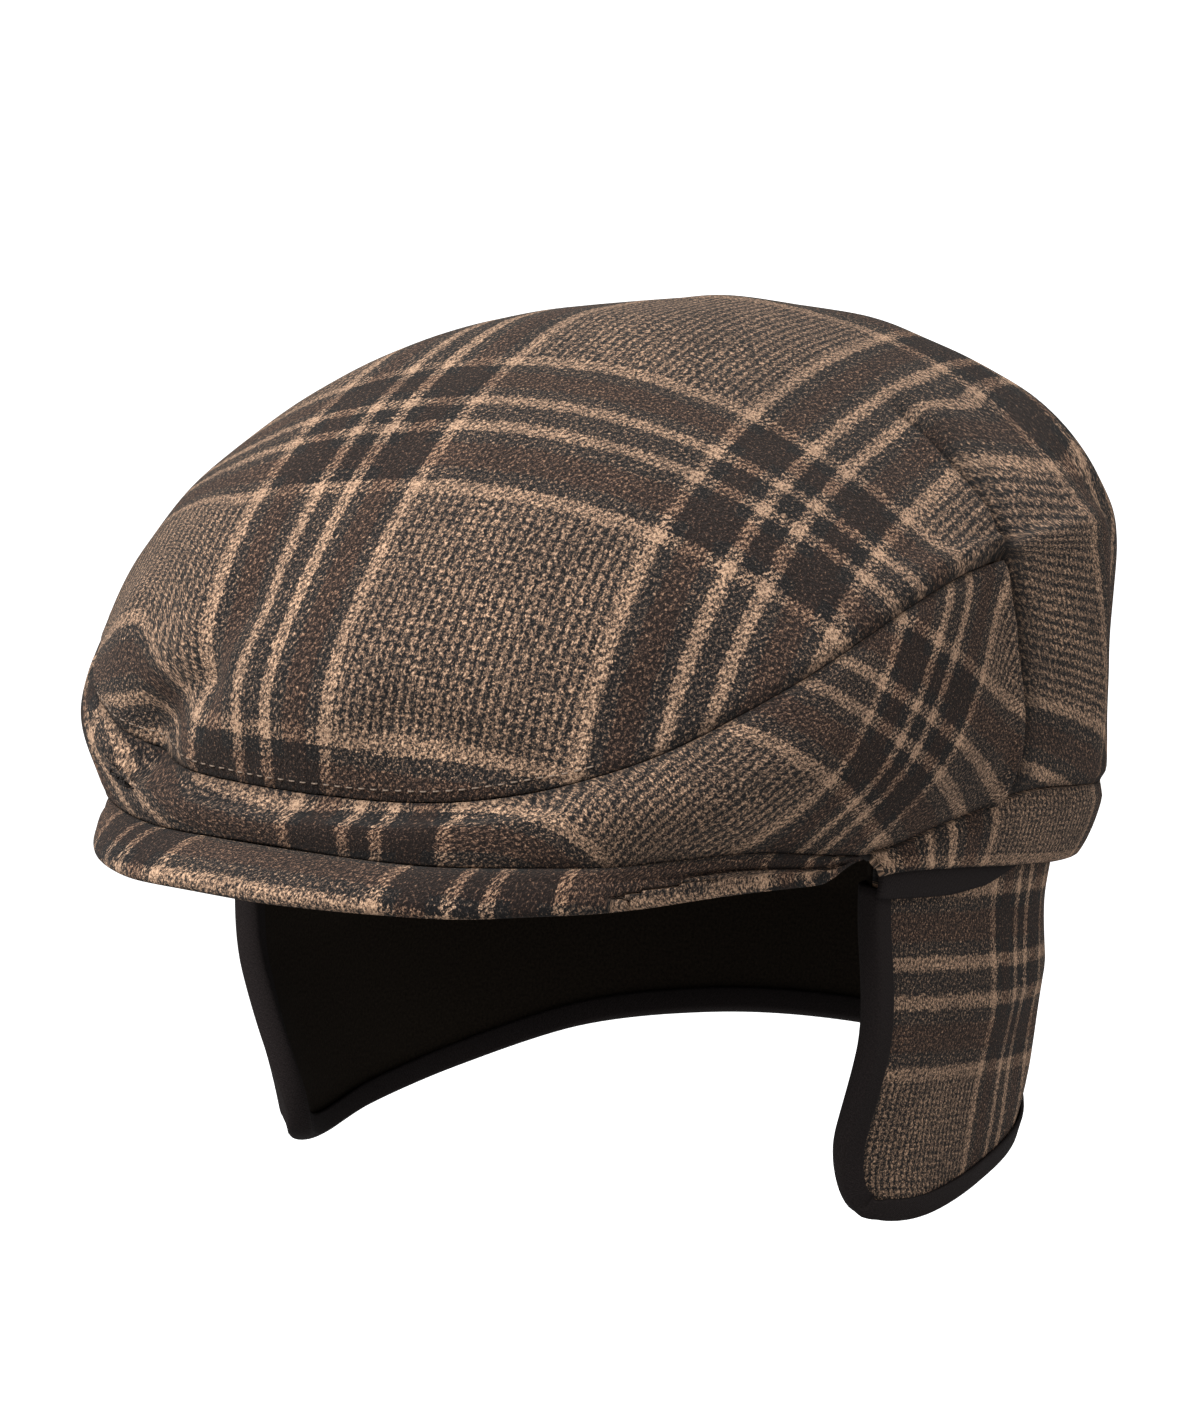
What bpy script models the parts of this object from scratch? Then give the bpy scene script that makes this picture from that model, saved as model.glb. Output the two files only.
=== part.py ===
# Flat cap with a fold-down ear and neck flap, shown with the flap down.
# Sizes here are in millimetres, and the meshes are in metres.
# The peak points to -Y, the wearer's left is +X, up is +Z.
# The origin is the middle of the head opening, level with the rim.
import bmesh
import bpy
import numpy as np
from mathutils import Vector

MM = 0.001

# Cloth thicknesses
WOOL = 2.0
FLAP_WOOL = 1.5
BLACK_CLOTH = 1.0
TAPE = 0.8
GAP = 0.3
LAYER_GAP = 0.8

# Outer face of the rim that goes round the head
RIM_HALF_WIDTH = 87.5
RIM_HALF_LENGTH = 109.0
RIM_SQUARENESS = 2.5
CROWN_SQUARENESS = 2.25

# Rings of the crown from the side of the head up to the apex.
# The five heights are read at the front, corner, side, rear corner and back.
RING_COLUMNS = ("half_width", "widest_y", "front_y", "back_y",
                "front_z", "corner_z", "side_z", "rear_z", "back_z")
RINGS = {
    "wide":       (96.5, -9.0, -140.5, 112.5, 1.0, 12.0, 30.5, 46.0, 50.0),
    "brow":       (84.5, 0.0, -143.2, 109.5, 27.6, 46.0, 73.0, 84.0, 88.0),
    "shoulder":   (71.3, -3.0, -129.0, 92.2, 57.6, 68.0, 83.5, 97.5, 102.5),
    "upper_dome": (50.8, 0.6, -94.5, 63.2, 87.0, 90.5, 99.0, 107.0, 111.0),
    "top_dome":   (27.9, 7.2, -44.6, 37.5, 106.8, 107.8, 109.6, 112.8, 114.6),
}
APEX = (0.0, 11.0, 115.0)

# Two lines on the wearer's left, from the middle of the front to the back.
# The lower edge runs along the top of the peak and up over the band.
# The seam joins the top panel to the side panel as far as the rear seam.
# The columns of both are x, y and z.
LOWER_EDGE = (
    (0.0, -138.5, -4.3),
    (33.0, -133.5, -3.9),
    (59.0, -113.0, -1.2),
    (74.0, -80.0, 2.8),
    (83.0, -40.0, 3.4),
    (88.5, -16.0, 10.2),
    (92.0, 12.0, 16.8),
    (85.5, 59.0, 18.0),
    (56.0, 96.5, 18.0),
    (0.0, 114.0, 18.0),
)
SEAM = (
    (0.0, -135.5, 6.5),
    (38.0, -128.5, 9.0),
    (65.7, -109.5, 19.8),
    (83.3, -79.7, 38.0),
    (89.8, -40.6, 57.1),
    (90.0, -10.6, 65.3),
    (90.0, 25.0, 69.0),
    (74.5, 74.0, 71.0),
    (44.0, 102.0, 72.0),
    (0.0, 112.5, 72.0),
)

# Where the seam behind the ear leaves the seam round the top, as a share of
# the way from front to back
REAR_SEAM = 0.532

# Where the band and the black strip begin behind the peak, as such a share
BAND_START = 0.412
STRIP_START = 0.392

# Black strip inside the rim, which shows below the band at the front of the flap.
# Each row is a share of the way round and the height of the strip's lower edge.
STRIP_LOWER_EDGE = (
    (0.383, -6.2),
    (0.420, -6.3),
    (0.480, -5.8),
    (0.530, -4.0),
    (0.565, -1.0),
    (0.600, 1.5),
    (1.000, 2.0),
)
STRIP_TOP = 12.0
STRIP_INSET = 2.9

# Peak
PEAK_REACH = 13.5
PEAK_DROP = 5.5
PEAK_THICKNESS = 4.0
PEAK_END = 0.398
RIGHT_PEAK_TUCK = 4.0

# Inside of the rim, where the peak ends against the forehead
OPENING_HALF_WIDTH = 84.0
OPENING_HALF_LENGTH = 105.5

# Ear and neck flap on the wearer's left, from the front edge to the nape.
# Each row joins a share of the way round the rim to a point of the lower edge.
FLAP_COLUMNS = ("rim_share", "low_x", "low_y", "low_z")
FLAP = (
    (0.383, 68.0, -15.0, -71.5),
    (0.425, 72.3, -7.0, -77.5),
    (0.480, 76.3, 6.0, -78.0),
    (0.585, 77.3, 27.0, -72.5),
    (0.685, 72.8, 53.3, -64.5),
    (0.790, 56.2, 80.2, -54.0),
    (0.895, 29.2, 96.2, -48.5),
    (1.000, 0.0, 100.6, -47.0),
)
LEFT_LIFT = 3.0
LEFT_SET_BACK = 5.0
RIGHT_TUCK = (2.6, 1.6)
FLAP_BELLY = 1.2
FLAP_FRONT_BELLY = 4.0
FLAP_TUCK = 4.9
NAPE_TUCK = 3.2
CORNER_CUT = 0.8
CORNER_START = 0.84
CORNER_FADE = 2.5
TAPE_DEPTH = 3.2
TAPE_GAP = 0.6

STEPS_ROUND = 22
SEAM_GAP = 0.002
FRONT_SHARES = np.linspace(0, REAR_SEAM, 24)


def spline(rows, place):
    """Point on a smooth curve through the rows, at a place counted in rows."""
    rows = np.asarray(rows, float)
    last = len(rows) - 1
    index = int(np.clip(np.floor(place), 0, last - 1))
    t = place - index
    before = rows[index - 1] if index > 0 else 2 * rows[0] - rows[1]
    after = rows[index + 2] if index + 2 <= last else 2 * rows[last] - rows[last - 1]
    a, b = rows[index], rows[index + 1]
    return 0.5 * (2 * a + (b - before) * t + (2 * before - 5 * a + 4 * b - after) * t ** 2
                  + (3 * a - before - 3 * b + after) * t ** 3)


def evenly(curve, shares):
    """Points at shares of the length along a dense curve."""
    curve = np.asarray(curve)
    steps = np.linalg.norm(np.diff(curve, axis=0), axis=1)
    length = np.concatenate(([0.0], np.cumsum(steps)))
    length /= length[-1]
    return np.stack([np.interp(shares, length, curve[:, k]) for k in range(curve.shape[1])], axis=1)


def ring_heights(angle, front_z, corner_z, side_z, rear_z, back_z):
    """Smooth height round a ring from five named heights."""
    marks = np.radians([0, 45, 90, 135, 180])
    waves = np.cos(np.outer(marks, np.arange(5)))
    weights = np.linalg.solve(waves, [front_z, corner_z, side_z, rear_z, back_z])
    return np.cos(np.outer(angle, np.arange(5))) @ weights


def half_oval(half_width, widest_y, front_y, back_y, squareness):
    """Left half of an oval from front to back, and the angle of each point."""
    angle = np.linspace(0, np.pi, 241)
    power = 2 / squareness
    sine = np.abs(np.sin(angle)) ** power
    cosine = np.sign(np.cos(angle)) * np.abs(np.cos(angle)) ** power
    reach = np.where(cosine > 0, widest_y - front_y, back_y - widest_y)
    return half_width * sine, widest_y - reach * cosine, angle


def ring_curve(name):
    """Left half of a named crown ring, from front to back."""
    sizes = dict(zip(RING_COLUMNS, RINGS[name]))
    heights = [sizes.pop(key) for key in RING_COLUMNS[4:]]
    x, y, angle = half_oval(squareness=CROWN_SQUARENESS, **sizes)
    return np.stack([x, y, ring_heights(angle, *heights)], axis=1)


def line_curve(line):
    """Left half of a line given by its points, from front to back."""
    rows = np.array(line)
    mirror = np.array([-1, 1, 1])
    rows = np.vstack([rows[1] * mirror, rows, rows[-2] * mirror])
    return np.array([spline(rows, place) for place in np.linspace(1, len(rows) - 2, 241)])


def rim_curve():
    """Left half of the rim, from front to back."""
    x, y, _ = half_oval(RIM_HALF_WIDTH, 0, -RIM_HALF_LENGTH, RIM_HALF_LENGTH, RIM_SQUARENESS)
    return np.stack([x, y, 0 * x], axis=1)


CURVES = [rim_curve(), line_curve(LOWER_EDGE), ring_curve("wide"), line_curve(SEAM)]
CURVES += [ring_curve(name) for name in ("brow", "shoulder", "upper_dome", "top_dome")]
LEVEL_RIM, LEVEL_EDGE, LEVEL_WIDE, LEVEL_SEAM = 0, 1, 2, 3
LEVEL_APEX = len(CURVES)

# The peak's end sits at the first share round the lower edge and at the
# second share round the rim
RIM_MATCH = ((0, 0.403, 1), (0, 0.376, 1))


def station(share, side):
    """Points of every ring at one share of the way round, on one side."""
    points = np.array([evenly(curve, [share])[0] for curve in CURVES])
    points[0] = evenly(CURVES[LEVEL_RIM], [np.interp(share, *RIM_MATCH)])[0]
    points[:, 0] *= side
    return points


def profile(share, side):
    """Rows of one upright section of the crown, from rim to apex and beyond."""
    near = station(share, side)
    far = station(share, -side)
    return np.vstack([near, APEX, far[-1:]])


def crown_point(section, level):
    """Point of a section at a level between the rim and the apex."""
    if level < LEVEL_EDGE:
        start, end = section[LEVEL_RIM], section[LEVEL_EDGE]
        out = 0.65 * np.sin(np.pi / 2 * level) + 0.35 * level
        rise = 1 - np.cos(np.pi / 2 * level)
        point = start + (end - start) * out
        point[2] = start[2] + (end[2] - start[2]) * (0.55 * rise + 0.45 * level)
        return point
    return spline(section[LEVEL_EDGE:], level - LEVEL_EDGE)


def level_after(section, level, distance):
    """Level at a small distance up the section from a given level."""
    step = 0.01 if level < LEVEL_APEX - 0.02 else -0.01
    length = np.linalg.norm(crown_point(section, level + step) - crown_point(section, level))
    return level + distance / length * abs(step)


def cloth_material(name, colour, roughness):
    """Plain cloth colour for one piece."""
    material = bpy.data.materials.new(name)
    material.use_nodes = True
    shader = material.node_tree.nodes["Principled BSDF"]
    shader.inputs["Base Color"].default_value = (*colour, 1)
    shader.inputs["Roughness"].default_value = roughness
    shader.inputs["Metallic"].default_value = 0
    material.diffuse_color = (*colour, 1)
    return material


def new_object(name, points, faces, material):
    """Mesh object in metres from points in millimetres."""
    mesh = bpy.data.meshes.new(name)
    mesh.from_pydata([tuple(np.asarray(point) * MM) for point in points], [], faces)
    work = bmesh.new()
    work.from_mesh(mesh)
    bmesh.ops.remove_doubles(work, verts=work.verts, dist=0.00001)
    bmesh.ops.recalc_face_normals(work, faces=work.faces)
    work.to_mesh(mesh)
    work.free()
    mesh.materials.append(material)
    item = bpy.data.objects.new(name, mesh)
    HAT.objects.link(item)
    return item


def grid_faces(rows, columns, closed=False):
    """Four-sided faces of a grid, with its columns joined end to end if closed."""
    faces = []
    spans = columns if closed else columns - 1
    for row in range(rows - 1):
        for column in range(spans):
            after = (column + 1) % columns
            faces.append((row * columns + column, row * columns + after,
                          (row + 1) * columns + after, (row + 1) * columns + column))
    return faces


def face_outward(item, towards):
    """Turns an open cloth surface so that it faces away from a point."""
    mesh = item.data
    face = mesh.polygons[len(mesh.polygons) // 2]
    away = face.center - Vector(towards) * MM
    if face.normal.dot(away) < 0:
        mesh.flip_normals()


def thicken(item, thickness):
    """Gives an open cloth surface its thickness, on the inner side."""
    solid = item.modifiers.new("Thickness", "SOLIDIFY")
    solid.thickness = thickness * MM
    solid.offset = -1
    solid.use_even_offset = True
    solid.use_rim = True


def side_panel(material):
    """Cloth strip round the front and both sides, from peak and band to the seam."""
    shares = np.concatenate([-FRONT_SHARES[:0:-1], FRONT_SHARES])
    rows = []
    for amount in np.linspace(0, 1, 6):
        row = []
        for share in shares:
            section = profile(abs(share), np.sign(share) or 1)
            low = level_after(section, LEVEL_EDGE, GAP / 2)
            high = level_after(section, LEVEL_SEAM, -GAP / 2)
            row.append(crown_point(section, low + (high - low) * amount))
        rows.append(row)
    points = [point for row in rows for point in row]
    item = new_object("side_panel", points, grid_faces(len(rows), len(shares)), material)
    face_outward(item, (0, 0, 30))
    thicken(item, WOOL)


def top_panel(material):
    """Crown cloth from the front seam over the apex and down the back."""
    back = np.linspace(REAR_SEAM + SEAM_GAP, 1, 18)
    half = np.concatenate([FRONT_SHARES, back])
    shares = list(half) + [-share for share in half[-2:0:-1]]
    columns = len(shares)
    sections = [profile(abs(share), 1 if index <= len(half) - 1 else -1)
                for index, share in enumerate(shares)]
    levels_up = np.linspace(0, 1, 13)[:-1]
    points = []
    for amount in levels_up:
        for section in sections:
            low = level_after(section, LEVEL_SEAM, 2 * GAP)
            points.append(crown_point(section, low + (LEVEL_APEX - low) * amount))
    faces = grid_faces(len(levels_up), columns, closed=True)
    apex = len(points)
    points.append(np.array(APEX))
    last = (len(levels_up) - 1) * columns
    for column in range(columns):
        faces.append((last + column, last + (column + 1) % columns, apex))
    first_back = len(FRONT_SHARES)
    last_back = columns - first_back
    back_columns = list(range(first_back, last_back + 1))
    lower = len(points)
    amounts = np.linspace(0, 1, 6)[:-1]
    for amount in amounts:
        for column in back_columns:
            section = sections[column]
            low = level_after(section, LEVEL_EDGE, GAP / 2)
            high = level_after(section, LEVEL_SEAM, 2 * GAP)
            points.append(crown_point(section, low + (high - low) * amount))
    width = len(back_columns)
    faces += [tuple(lower + corner for corner in face) for face in grid_faces(len(amounts), width)]
    top_row = lower + (len(amounts) - 1) * width
    for place in range(width - 1):
        faces.append((top_row + place, top_row + place + 1,
                      back_columns[place + 1], back_columns[place]))
    item = new_object("top_panel", points, faces, material)
    face_outward(item, (0, 0, 30))
    thicken(item, WOOL)


def back_band(material):
    """Band round the sides and back, which runs out to nothing at the peak."""
    half = np.linspace(BAND_START, 1, STEPS_ROUND)
    shares = list(half) + [-share for share in half[-2::-1]]
    sections = [profile(abs(share), 1 if index < len(half) else -1)
                for index, share in enumerate(shares)]
    points = []
    for amount in np.linspace(0, 1, 5):
        for section in sections:
            high = 1 - 2.5 * GAP / np.linalg.norm(section[LEVEL_EDGE] - section[LEVEL_RIM])
            points.append(crown_point(section, high * amount))
    item = new_object("back_band", points, grid_faces(5, len(shares)), material)
    face_outward(item, (0, 0, 8))
    thicken(item, WOOL)


def peak_section(share, side):
    """Closed outline of the peak at one place, from the rim to its outer edge."""
    x, y, _ = half_oval(OPENING_HALF_WIDTH, 0, -OPENING_HALF_LENGTH, OPENING_HALF_LENGTH,
                        RIM_SQUARENESS)
    inner = evenly(np.stack([x, y], axis=1), [np.interp(share, *RIM_MATCH)])[0]
    crease = evenly(CURVES[LEVEL_EDGE], [share])[0]
    fade = 1 - (share / PEAK_END) ** 4
    forward = PEAK_REACH * np.cos(share / PEAK_END * np.pi / 2) ** 4 + 0.4 * fade + 0.6
    out = crease[:2] - inner
    out = out / max(np.linalg.norm(out), 0.001)
    ahead = np.array([0.35 * out[0], min(out[1], -0.25)])
    ahead = ahead / np.linalg.norm(ahead)
    edge = crease[:2] + ahead * forward
    drop = PEAK_DROP * (0.2 + 0.8 * fade)
    half = PEAK_THICKNESS / 2 * (0.7 + 0.3 * fade)
    middle_z = crease[2] - GAP - 0.3 - half
    middle_line = np.array([
        (*inner, middle_z + 1.2 * fade),
        (*(inner + (crease[:2] - inner) * 0.5), middle_z + 1.0 * fade),
        (*crease[:2], middle_z),
        (*(crease[:2] + (edge - crease[:2]) * 0.6), middle_z - drop * 0.5),
        (*(edge - ahead * half * 0.6), middle_z - drop),
    ])
    up = np.array([0, 0, half])
    top = [point + up for point in middle_line]
    tip_out = np.array([*(ahead * half * 0.6), 0])
    tip = [middle_line[-1] + tip_out + up * 0.55, middle_line[-1] + tip_out - up * 0.75]
    bottom = [point - up for point in middle_line[::-1]]
    outline = np.array(top + tip + bottom)
    outline[:, 0] *= side
    if side < 0:
        outline[:, 0] += RIGHT_PEAK_TUCK * np.sin(share / PEAK_END * np.pi) ** 2
    return outline


def peak(material):
    """Stiffened peak, from the rim at the forehead to its rounded edge."""
    shares = np.linspace(-PEAK_END, PEAK_END, 2 * STEPS_ROUND + 1)
    sections = [peak_section(abs(share), np.sign(share) or 1) for share in shares]
    columns = len(sections[0])
    points = [point for section in sections for point in section]
    faces = grid_faces(len(sections), columns, closed=True)
    faces.append(tuple(range(columns)))
    first = (len(sections) - 1) * columns
    faces.append(tuple(first + column for column in range(columns - 1, -1, -1)))
    new_object("peak", points, faces, material)


def flap_rows():
    """Rim point and lower point of each flap row, from left round to right."""
    rows = []
    for values in FLAP:
        row = dict(zip(FLAP_COLUMNS, values))
        rim_x, rim_y, _ = evenly(CURVES[LEVEL_RIM], [row["rim_share"]])[0]
        rows.append((rim_x, rim_y, row["low_x"], row["low_y"], row["low_z"]))
    left = np.array(rows)
    right = left[-2::-1] * np.array([-1, 1, -1, 1, 1])
    return np.vstack([left, right])


FLAP_ROWS = flap_rows()


def flap_point(place, down, inward):
    """Point of the flap at a place round it, a share of the way down, and a depth inward."""
    middle = len(FLAP) - 1
    from_front = middle - abs(place - middle)
    lowness = min(max((down - CORNER_START) / (1 - CORNER_START), 0), 1)
    corner = CORNER_CUT * (1 - np.sqrt(1 - lowness ** 2)) * max(0, 1 - from_front / CORNER_FADE)
    place += corner if place < middle else -corner
    front_share = abs(place - middle) / middle
    tucked = min(max((0.6 - down) / 0.5, 0), 1)
    nape_tuck = NAPE_TUCK * (1 - front_share ** 2) * (1 - down)
    inward += max(FLAP_TUCK * tucked ** 2 * (3 - 2 * tucked), nape_tuck)
    row = spline(FLAP_ROWS, place)
    along = spline(FLAP_ROWS, place + 0.01) - spline(FLAP_ROWS, place - 0.01)
    top = np.array([row[0], row[1], 0.0])
    low = row[2:5] + np.array([0, 0, LEFT_LIFT * row[2] / 70])
    point = top + (low - top) * down
    if place < middle:
        point[1] += LEFT_SET_BACK * front_share ** 3 * (1 - down)
    else:
        point[:2] += np.array(RIGHT_TUCK) * front_share ** 3 * down
    along = np.array([along[0], along[1], 0.0]) * (1 - down) + along[2:5] * down
    outward = np.cross(low - top, along)
    outward[2] = 0
    outward /= np.linalg.norm(outward)
    if outward @ np.array([point[0], point[1], 0]) < 0:
        outward = -outward
    belly = FLAP_BELLY + FLAP_FRONT_BELLY * front_share ** 2
    belly *= np.sin(0.75 * np.pi * min(max(down, 0), 1))
    return point + outward * (belly - inward)


def flap_layer(name, top_down, inward, thickness, edge_inset, material):
    """One cloth layer of the flap, held back from the free edge by the inset."""
    last = 2 * (len(FLAP) - 1)
    places = np.linspace(0, last, 43)
    inset_place = edge_inset / 17.0
    places = inset_place + places * (last - 2 * inset_place) / last
    points = []
    downs = np.linspace(0, 1, 8)
    for amount in downs:
        for place in places:
            depth = np.linalg.norm(flap_point(place, 1, 0) - flap_point(place, 0, 0))
            low = 1 - edge_inset / depth
            points.append(flap_point(place, top_down + (low - top_down) * amount, inward))
    item = new_object(name, points, grid_faces(len(downs), len(places)), material)
    face_outward(item, (0, 0, -40))
    thicken(item, thickness)


def flap_edge_path():
    """Places along the free edge, up one front edge, round the bottom and up the other."""
    last = 2 * (len(FLAP) - 1)
    turn = np.sin(np.radians([0, 18, 36, 54, 72, 90]))
    downs = list(np.linspace(0.1, CORNER_START, 8))[:-1]
    downs += list(CORNER_START + (1 - CORNER_START) * turn)
    path = [(0.0, down) for down in downs]
    path += [(place, 1.0) for place in np.linspace(0.3, last - 0.3, 44)]
    path += [(float(last), down) for down in downs[::-1]]
    return path


def flap_frame(place, down, depth):
    """Middle of the flap's thickness at a place, and the true outward normal there."""
    last = 2 * (len(FLAP) - 1)
    step = 0.05
    here = flap_point(place, down, depth)
    before = flap_point(max(place - step, 0), down, depth)
    after = flap_point(min(place + step, last), down, depth)
    above = flap_point(place, down - step, depth)
    normal = np.cross(after - before, here - above)
    normal /= np.linalg.norm(normal)
    if normal @ np.array([here[0], here[1] - 20, 0]) < 0:
        normal = -normal
    return here, normal


def flap_binding(material):
    """Tape folded round the free edge of both flap layers."""
    path = flap_edge_path()
    stack = FLAP_WOOL + LAYER_GAP + BLACK_CLOTH
    half_inside = stack / 2 + TAPE_GAP
    half_outside = half_inside + TAPE
    frames = [flap_frame(place, down, stack / 2) for place, down in path]
    centres = np.array([centre for centre, _ in frames])
    outline = (
        (half_outside, TAPE_DEPTH), (half_outside, 0.0), (half_outside * 0.6, -TAPE - 0.3),
        (-half_outside * 0.6, -TAPE - 0.3), (-half_outside, 0.0), (-half_outside, TAPE_DEPTH),
        (-half_inside, TAPE_DEPTH), (-half_inside, -0.1),
        (half_inside, -0.1), (half_inside, TAPE_DEPTH),
    )
    last = len(centres) - 1
    points = []
    inward_before = np.array([0, 1, 0])
    for index, (centre, normal) in enumerate(frames):
        along = centres[min(index + 1, last)] - centres[max(index - 1, 0)]
        inward = np.cross(normal, along)
        inward /= np.linalg.norm(inward)
        if inward @ inward_before < 0:
            inward = -inward
        inward_before = inward
        for across, inside in outline:
            points.append(centre + normal * across + inward * inside)
    columns = len(outline)
    faces = grid_faces(len(path), columns, closed=True)
    faces.append(tuple(range(columns)))
    first = last * columns
    faces.append(tuple(first + column for column in range(columns - 1, -1, -1)))
    new_object("flap_binding", points, faces, material)


def inner_strip(material):
    """Black strip between the band and the flap, all round the sides and back."""
    half = np.linspace(STRIP_START, 1, STEPS_ROUND)
    shares = list(half) + [-share for share in half[-2::-1]]
    rim = CURVES[LEVEL_RIM]
    points = []
    marks = np.array(STRIP_LOWER_EDGE)
    for amount in np.linspace(0, 1, 4):
        for share in shares:
            place = evenly(rim, [abs(share)])[0]
            ahead = evenly(rim, [min(abs(share) + 0.003, 1)])[0]
            behind = evenly(rim, [abs(share) - 0.003])[0]
            along = ahead - behind
            outward = np.array([along[1], -along[0], 0])
            outward /= np.linalg.norm(outward)
            low = np.interp(abs(share), marks[:, 0], marks[:, 1])
            point = place - outward * STRIP_INSET
            top = STRIP_TOP * min(max((abs(share) - 0.40) * 8, 0), 1) - GAP
            point[2] = low + (top - low) * amount
            if share < 0:
                point[0] = -point[0]
            points.append(point)
    item = new_object("inner_strip", points, grid_faces(4, len(shares)), material)
    face_outward(item, (0, 0, 5))
    thicken(item, BLACK_CLOTH)


def build():
    """Makes every piece of the cap."""
    crown_wool = cloth_material("crown_wool", (0.14, 0.105, 0.08), 0.95)
    top_panel(crown_wool)
    side_panel(cloth_material("side_wool", (0.13, 0.10, 0.075), 0.95))
    back_band(cloth_material("band_wool", (0.12, 0.09, 0.07), 0.95))
    peak(cloth_material("peak_wool", (0.12, 0.09, 0.07), 0.95))
    inner_strip(cloth_material("strip_black", (0.02, 0.018, 0.018), 0.85))
    flap_wool = cloth_material("flap_wool", (0.13, 0.10, 0.08), 0.95)
    flap_layer("ear_flap", -0.04, 0.0, FLAP_WOOL, 1.0, flap_wool)
    lining = cloth_material("lining_black", (0.012, 0.011, 0.01), 0.9)
    flap_layer("flap_lining", -0.1, FLAP_WOOL + LAYER_GAP, BLACK_CLOTH, 1.8, lining)
    flap_binding(cloth_material("binding_black", (0.02, 0.018, 0.018), 0.8))


for old in list(bpy.data.objects):
    bpy.data.objects.remove(old, do_unlink=True)
HAT = bpy.data.collections.new("flat_cap")
bpy.context.scene.collection.children.link(HAT)
build()
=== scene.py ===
import bpy
import bmesh
import numpy as np
from mathutils import Matrix, Vector, noise
from mathutils.kdtree import KDTree


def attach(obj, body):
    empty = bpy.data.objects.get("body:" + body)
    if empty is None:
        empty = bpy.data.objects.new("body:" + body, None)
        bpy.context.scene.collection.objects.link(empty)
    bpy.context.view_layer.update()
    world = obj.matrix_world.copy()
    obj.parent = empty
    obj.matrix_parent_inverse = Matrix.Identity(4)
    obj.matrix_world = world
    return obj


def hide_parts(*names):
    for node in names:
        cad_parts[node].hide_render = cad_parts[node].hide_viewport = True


MM = 0.001

# Cloth thicknesses
WOOL = 2.0
FLAP_WOOL = 1.5
BLACK_CLOTH = 1.0
TAPE = 0.8
LAYER_GAP = 0.8
SEAM_HALF_GAP = 0.12
PANEL_CLOTH = WOOL - 0.6
BAND_CLOTH = WOOL - 0.4

# Outer face of the rim that goes round the head
RIM_HALF_WIDTH = 87.5
RIM_HALF_LENGTH = 109.0
RIM_SQUARENESS = 2.5
CROWN_SQUARENESS = 2.25

# Rings of the crown from the side of the head up to the apex.
# The five heights are read at the front, corner, side, rear corner and back.
RING_COLUMNS = ("half_width", "widest_y", "front_y", "back_y",
                "front_z", "corner_z", "side_z", "rear_z", "back_z")
RINGS = {
    "wide":       (96.5, -9.0, -140.5, 112.5, 1.0, 12.0, 30.5, 46.0, 50.0),
    "brow":       (84.5, 0.0, -143.2, 109.5, 27.6, 46.0, 73.0, 84.0, 88.0),
    "shoulder":   (71.3, -3.0, -129.0, 92.2, 57.6, 68.0, 83.5, 97.5, 102.5),
    "upper_dome": (50.8, 0.6, -94.5, 63.2, 87.0, 90.5, 99.0, 107.0, 111.0),
    "top_dome":   (27.9, 7.2, -44.6, 37.5, 106.8, 107.8, 109.6, 112.8, 114.6),
}
APEX = (0.0, 11.0, 115.0)

# Two lines on the wearer's left, from the middle of the front to the back.
# The lower edge runs along the top of the peak and up over the band.
# The seam joins the top panel to the side panel as far as the rear seam.
# The columns of both are x, y and z.
LOWER_EDGE = (
    (0.0, -138.5, -4.3),
    (33.0, -133.5, -3.9),
    (59.0, -113.0, -1.2),
    (74.0, -80.0, 2.8),
    (83.0, -40.0, 3.4),
    (88.5, -16.0, 10.2),
    (92.0, 12.0, 16.8),
    (85.5, 59.0, 18.0),
    (56.0, 96.5, 18.0),
    (0.0, 114.0, 18.0),
)
SEAM = (
    (0.0, -135.5, 6.5),
    (38.0, -128.5, 9.0),
    (65.7, -109.5, 19.8),
    (83.3, -79.7, 38.0),
    (89.8, -40.6, 57.1),
    (90.0, -10.6, 65.3),
    (90.0, 25.0, 69.0),
    (74.5, 74.0, 71.0),
    (44.0, 102.0, 72.0),
    (0.0, 112.5, 72.0),
)
HALF_ROUND = 355.0
REAR_SEAM = 0.532
BAND_START = 0.412
STRIP_START = 0.392

# Lower edge of the black strip, as a share of the way round and a height
STRIP_LOWER_EDGE = (
    (0.383, -6.2),
    (0.420, -6.3),
    (0.480, -5.8),
    (0.530, -4.0),
    (0.565, -1.0),
    (0.600, 1.5),
    (1.000, 2.0),
)
STRIP_TOP = 12.0
STRIP_INSET = 2.9

# Peak
PEAK_REACH = 13.5
PEAK_DROP = 5.5
PEAK_THICKNESS = 4.0
PEAK_END = 0.398
PEAK_TAPER = 0.035
RIGHT_PEAK_TUCK = 4.0
OPENING_HALF_WIDTH = 84.0
OPENING_HALF_LENGTH = 105.5

# Ear and neck flap on the wearer's left, from the front edge to the nape.
# Each row joins a share of the way round the rim to a point of the lower edge.
FLAP_COLUMNS = ("rim_share", "low_x", "low_y", "low_z")
FLAP = (
    (0.383, 68.0, -15.0, -71.5),
    (0.425, 72.3, -7.0, -77.5),
    (0.480, 76.3, 6.0, -78.0),
    (0.585, 77.3, 27.0, -72.5),
    (0.685, 72.8, 53.3, -64.5),
    (0.790, 56.2, 80.2, -54.0),
    (0.895, 29.2, 96.2, -48.5),
    (1.000, 0.0, 100.6, -47.0),
)
LEFT_LIFT = 3.0
LEFT_SET_BACK = 5.0
RIGHT_TUCK = (2.6, 1.6)
FLAP_BELLY = 1.2
FLAP_FRONT_BELLY = 4.0
FLAP_TUCK = 4.9
NAPE_TUCK = 3.2
CORNER_CUT = 0.8
CORNER_START = 0.84
CORNER_FADE = 2.5
TAPE_DEPTH = 4.2
TAPE_GAP = 0.35
FLAP_GROUP_START = 46.0

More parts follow.
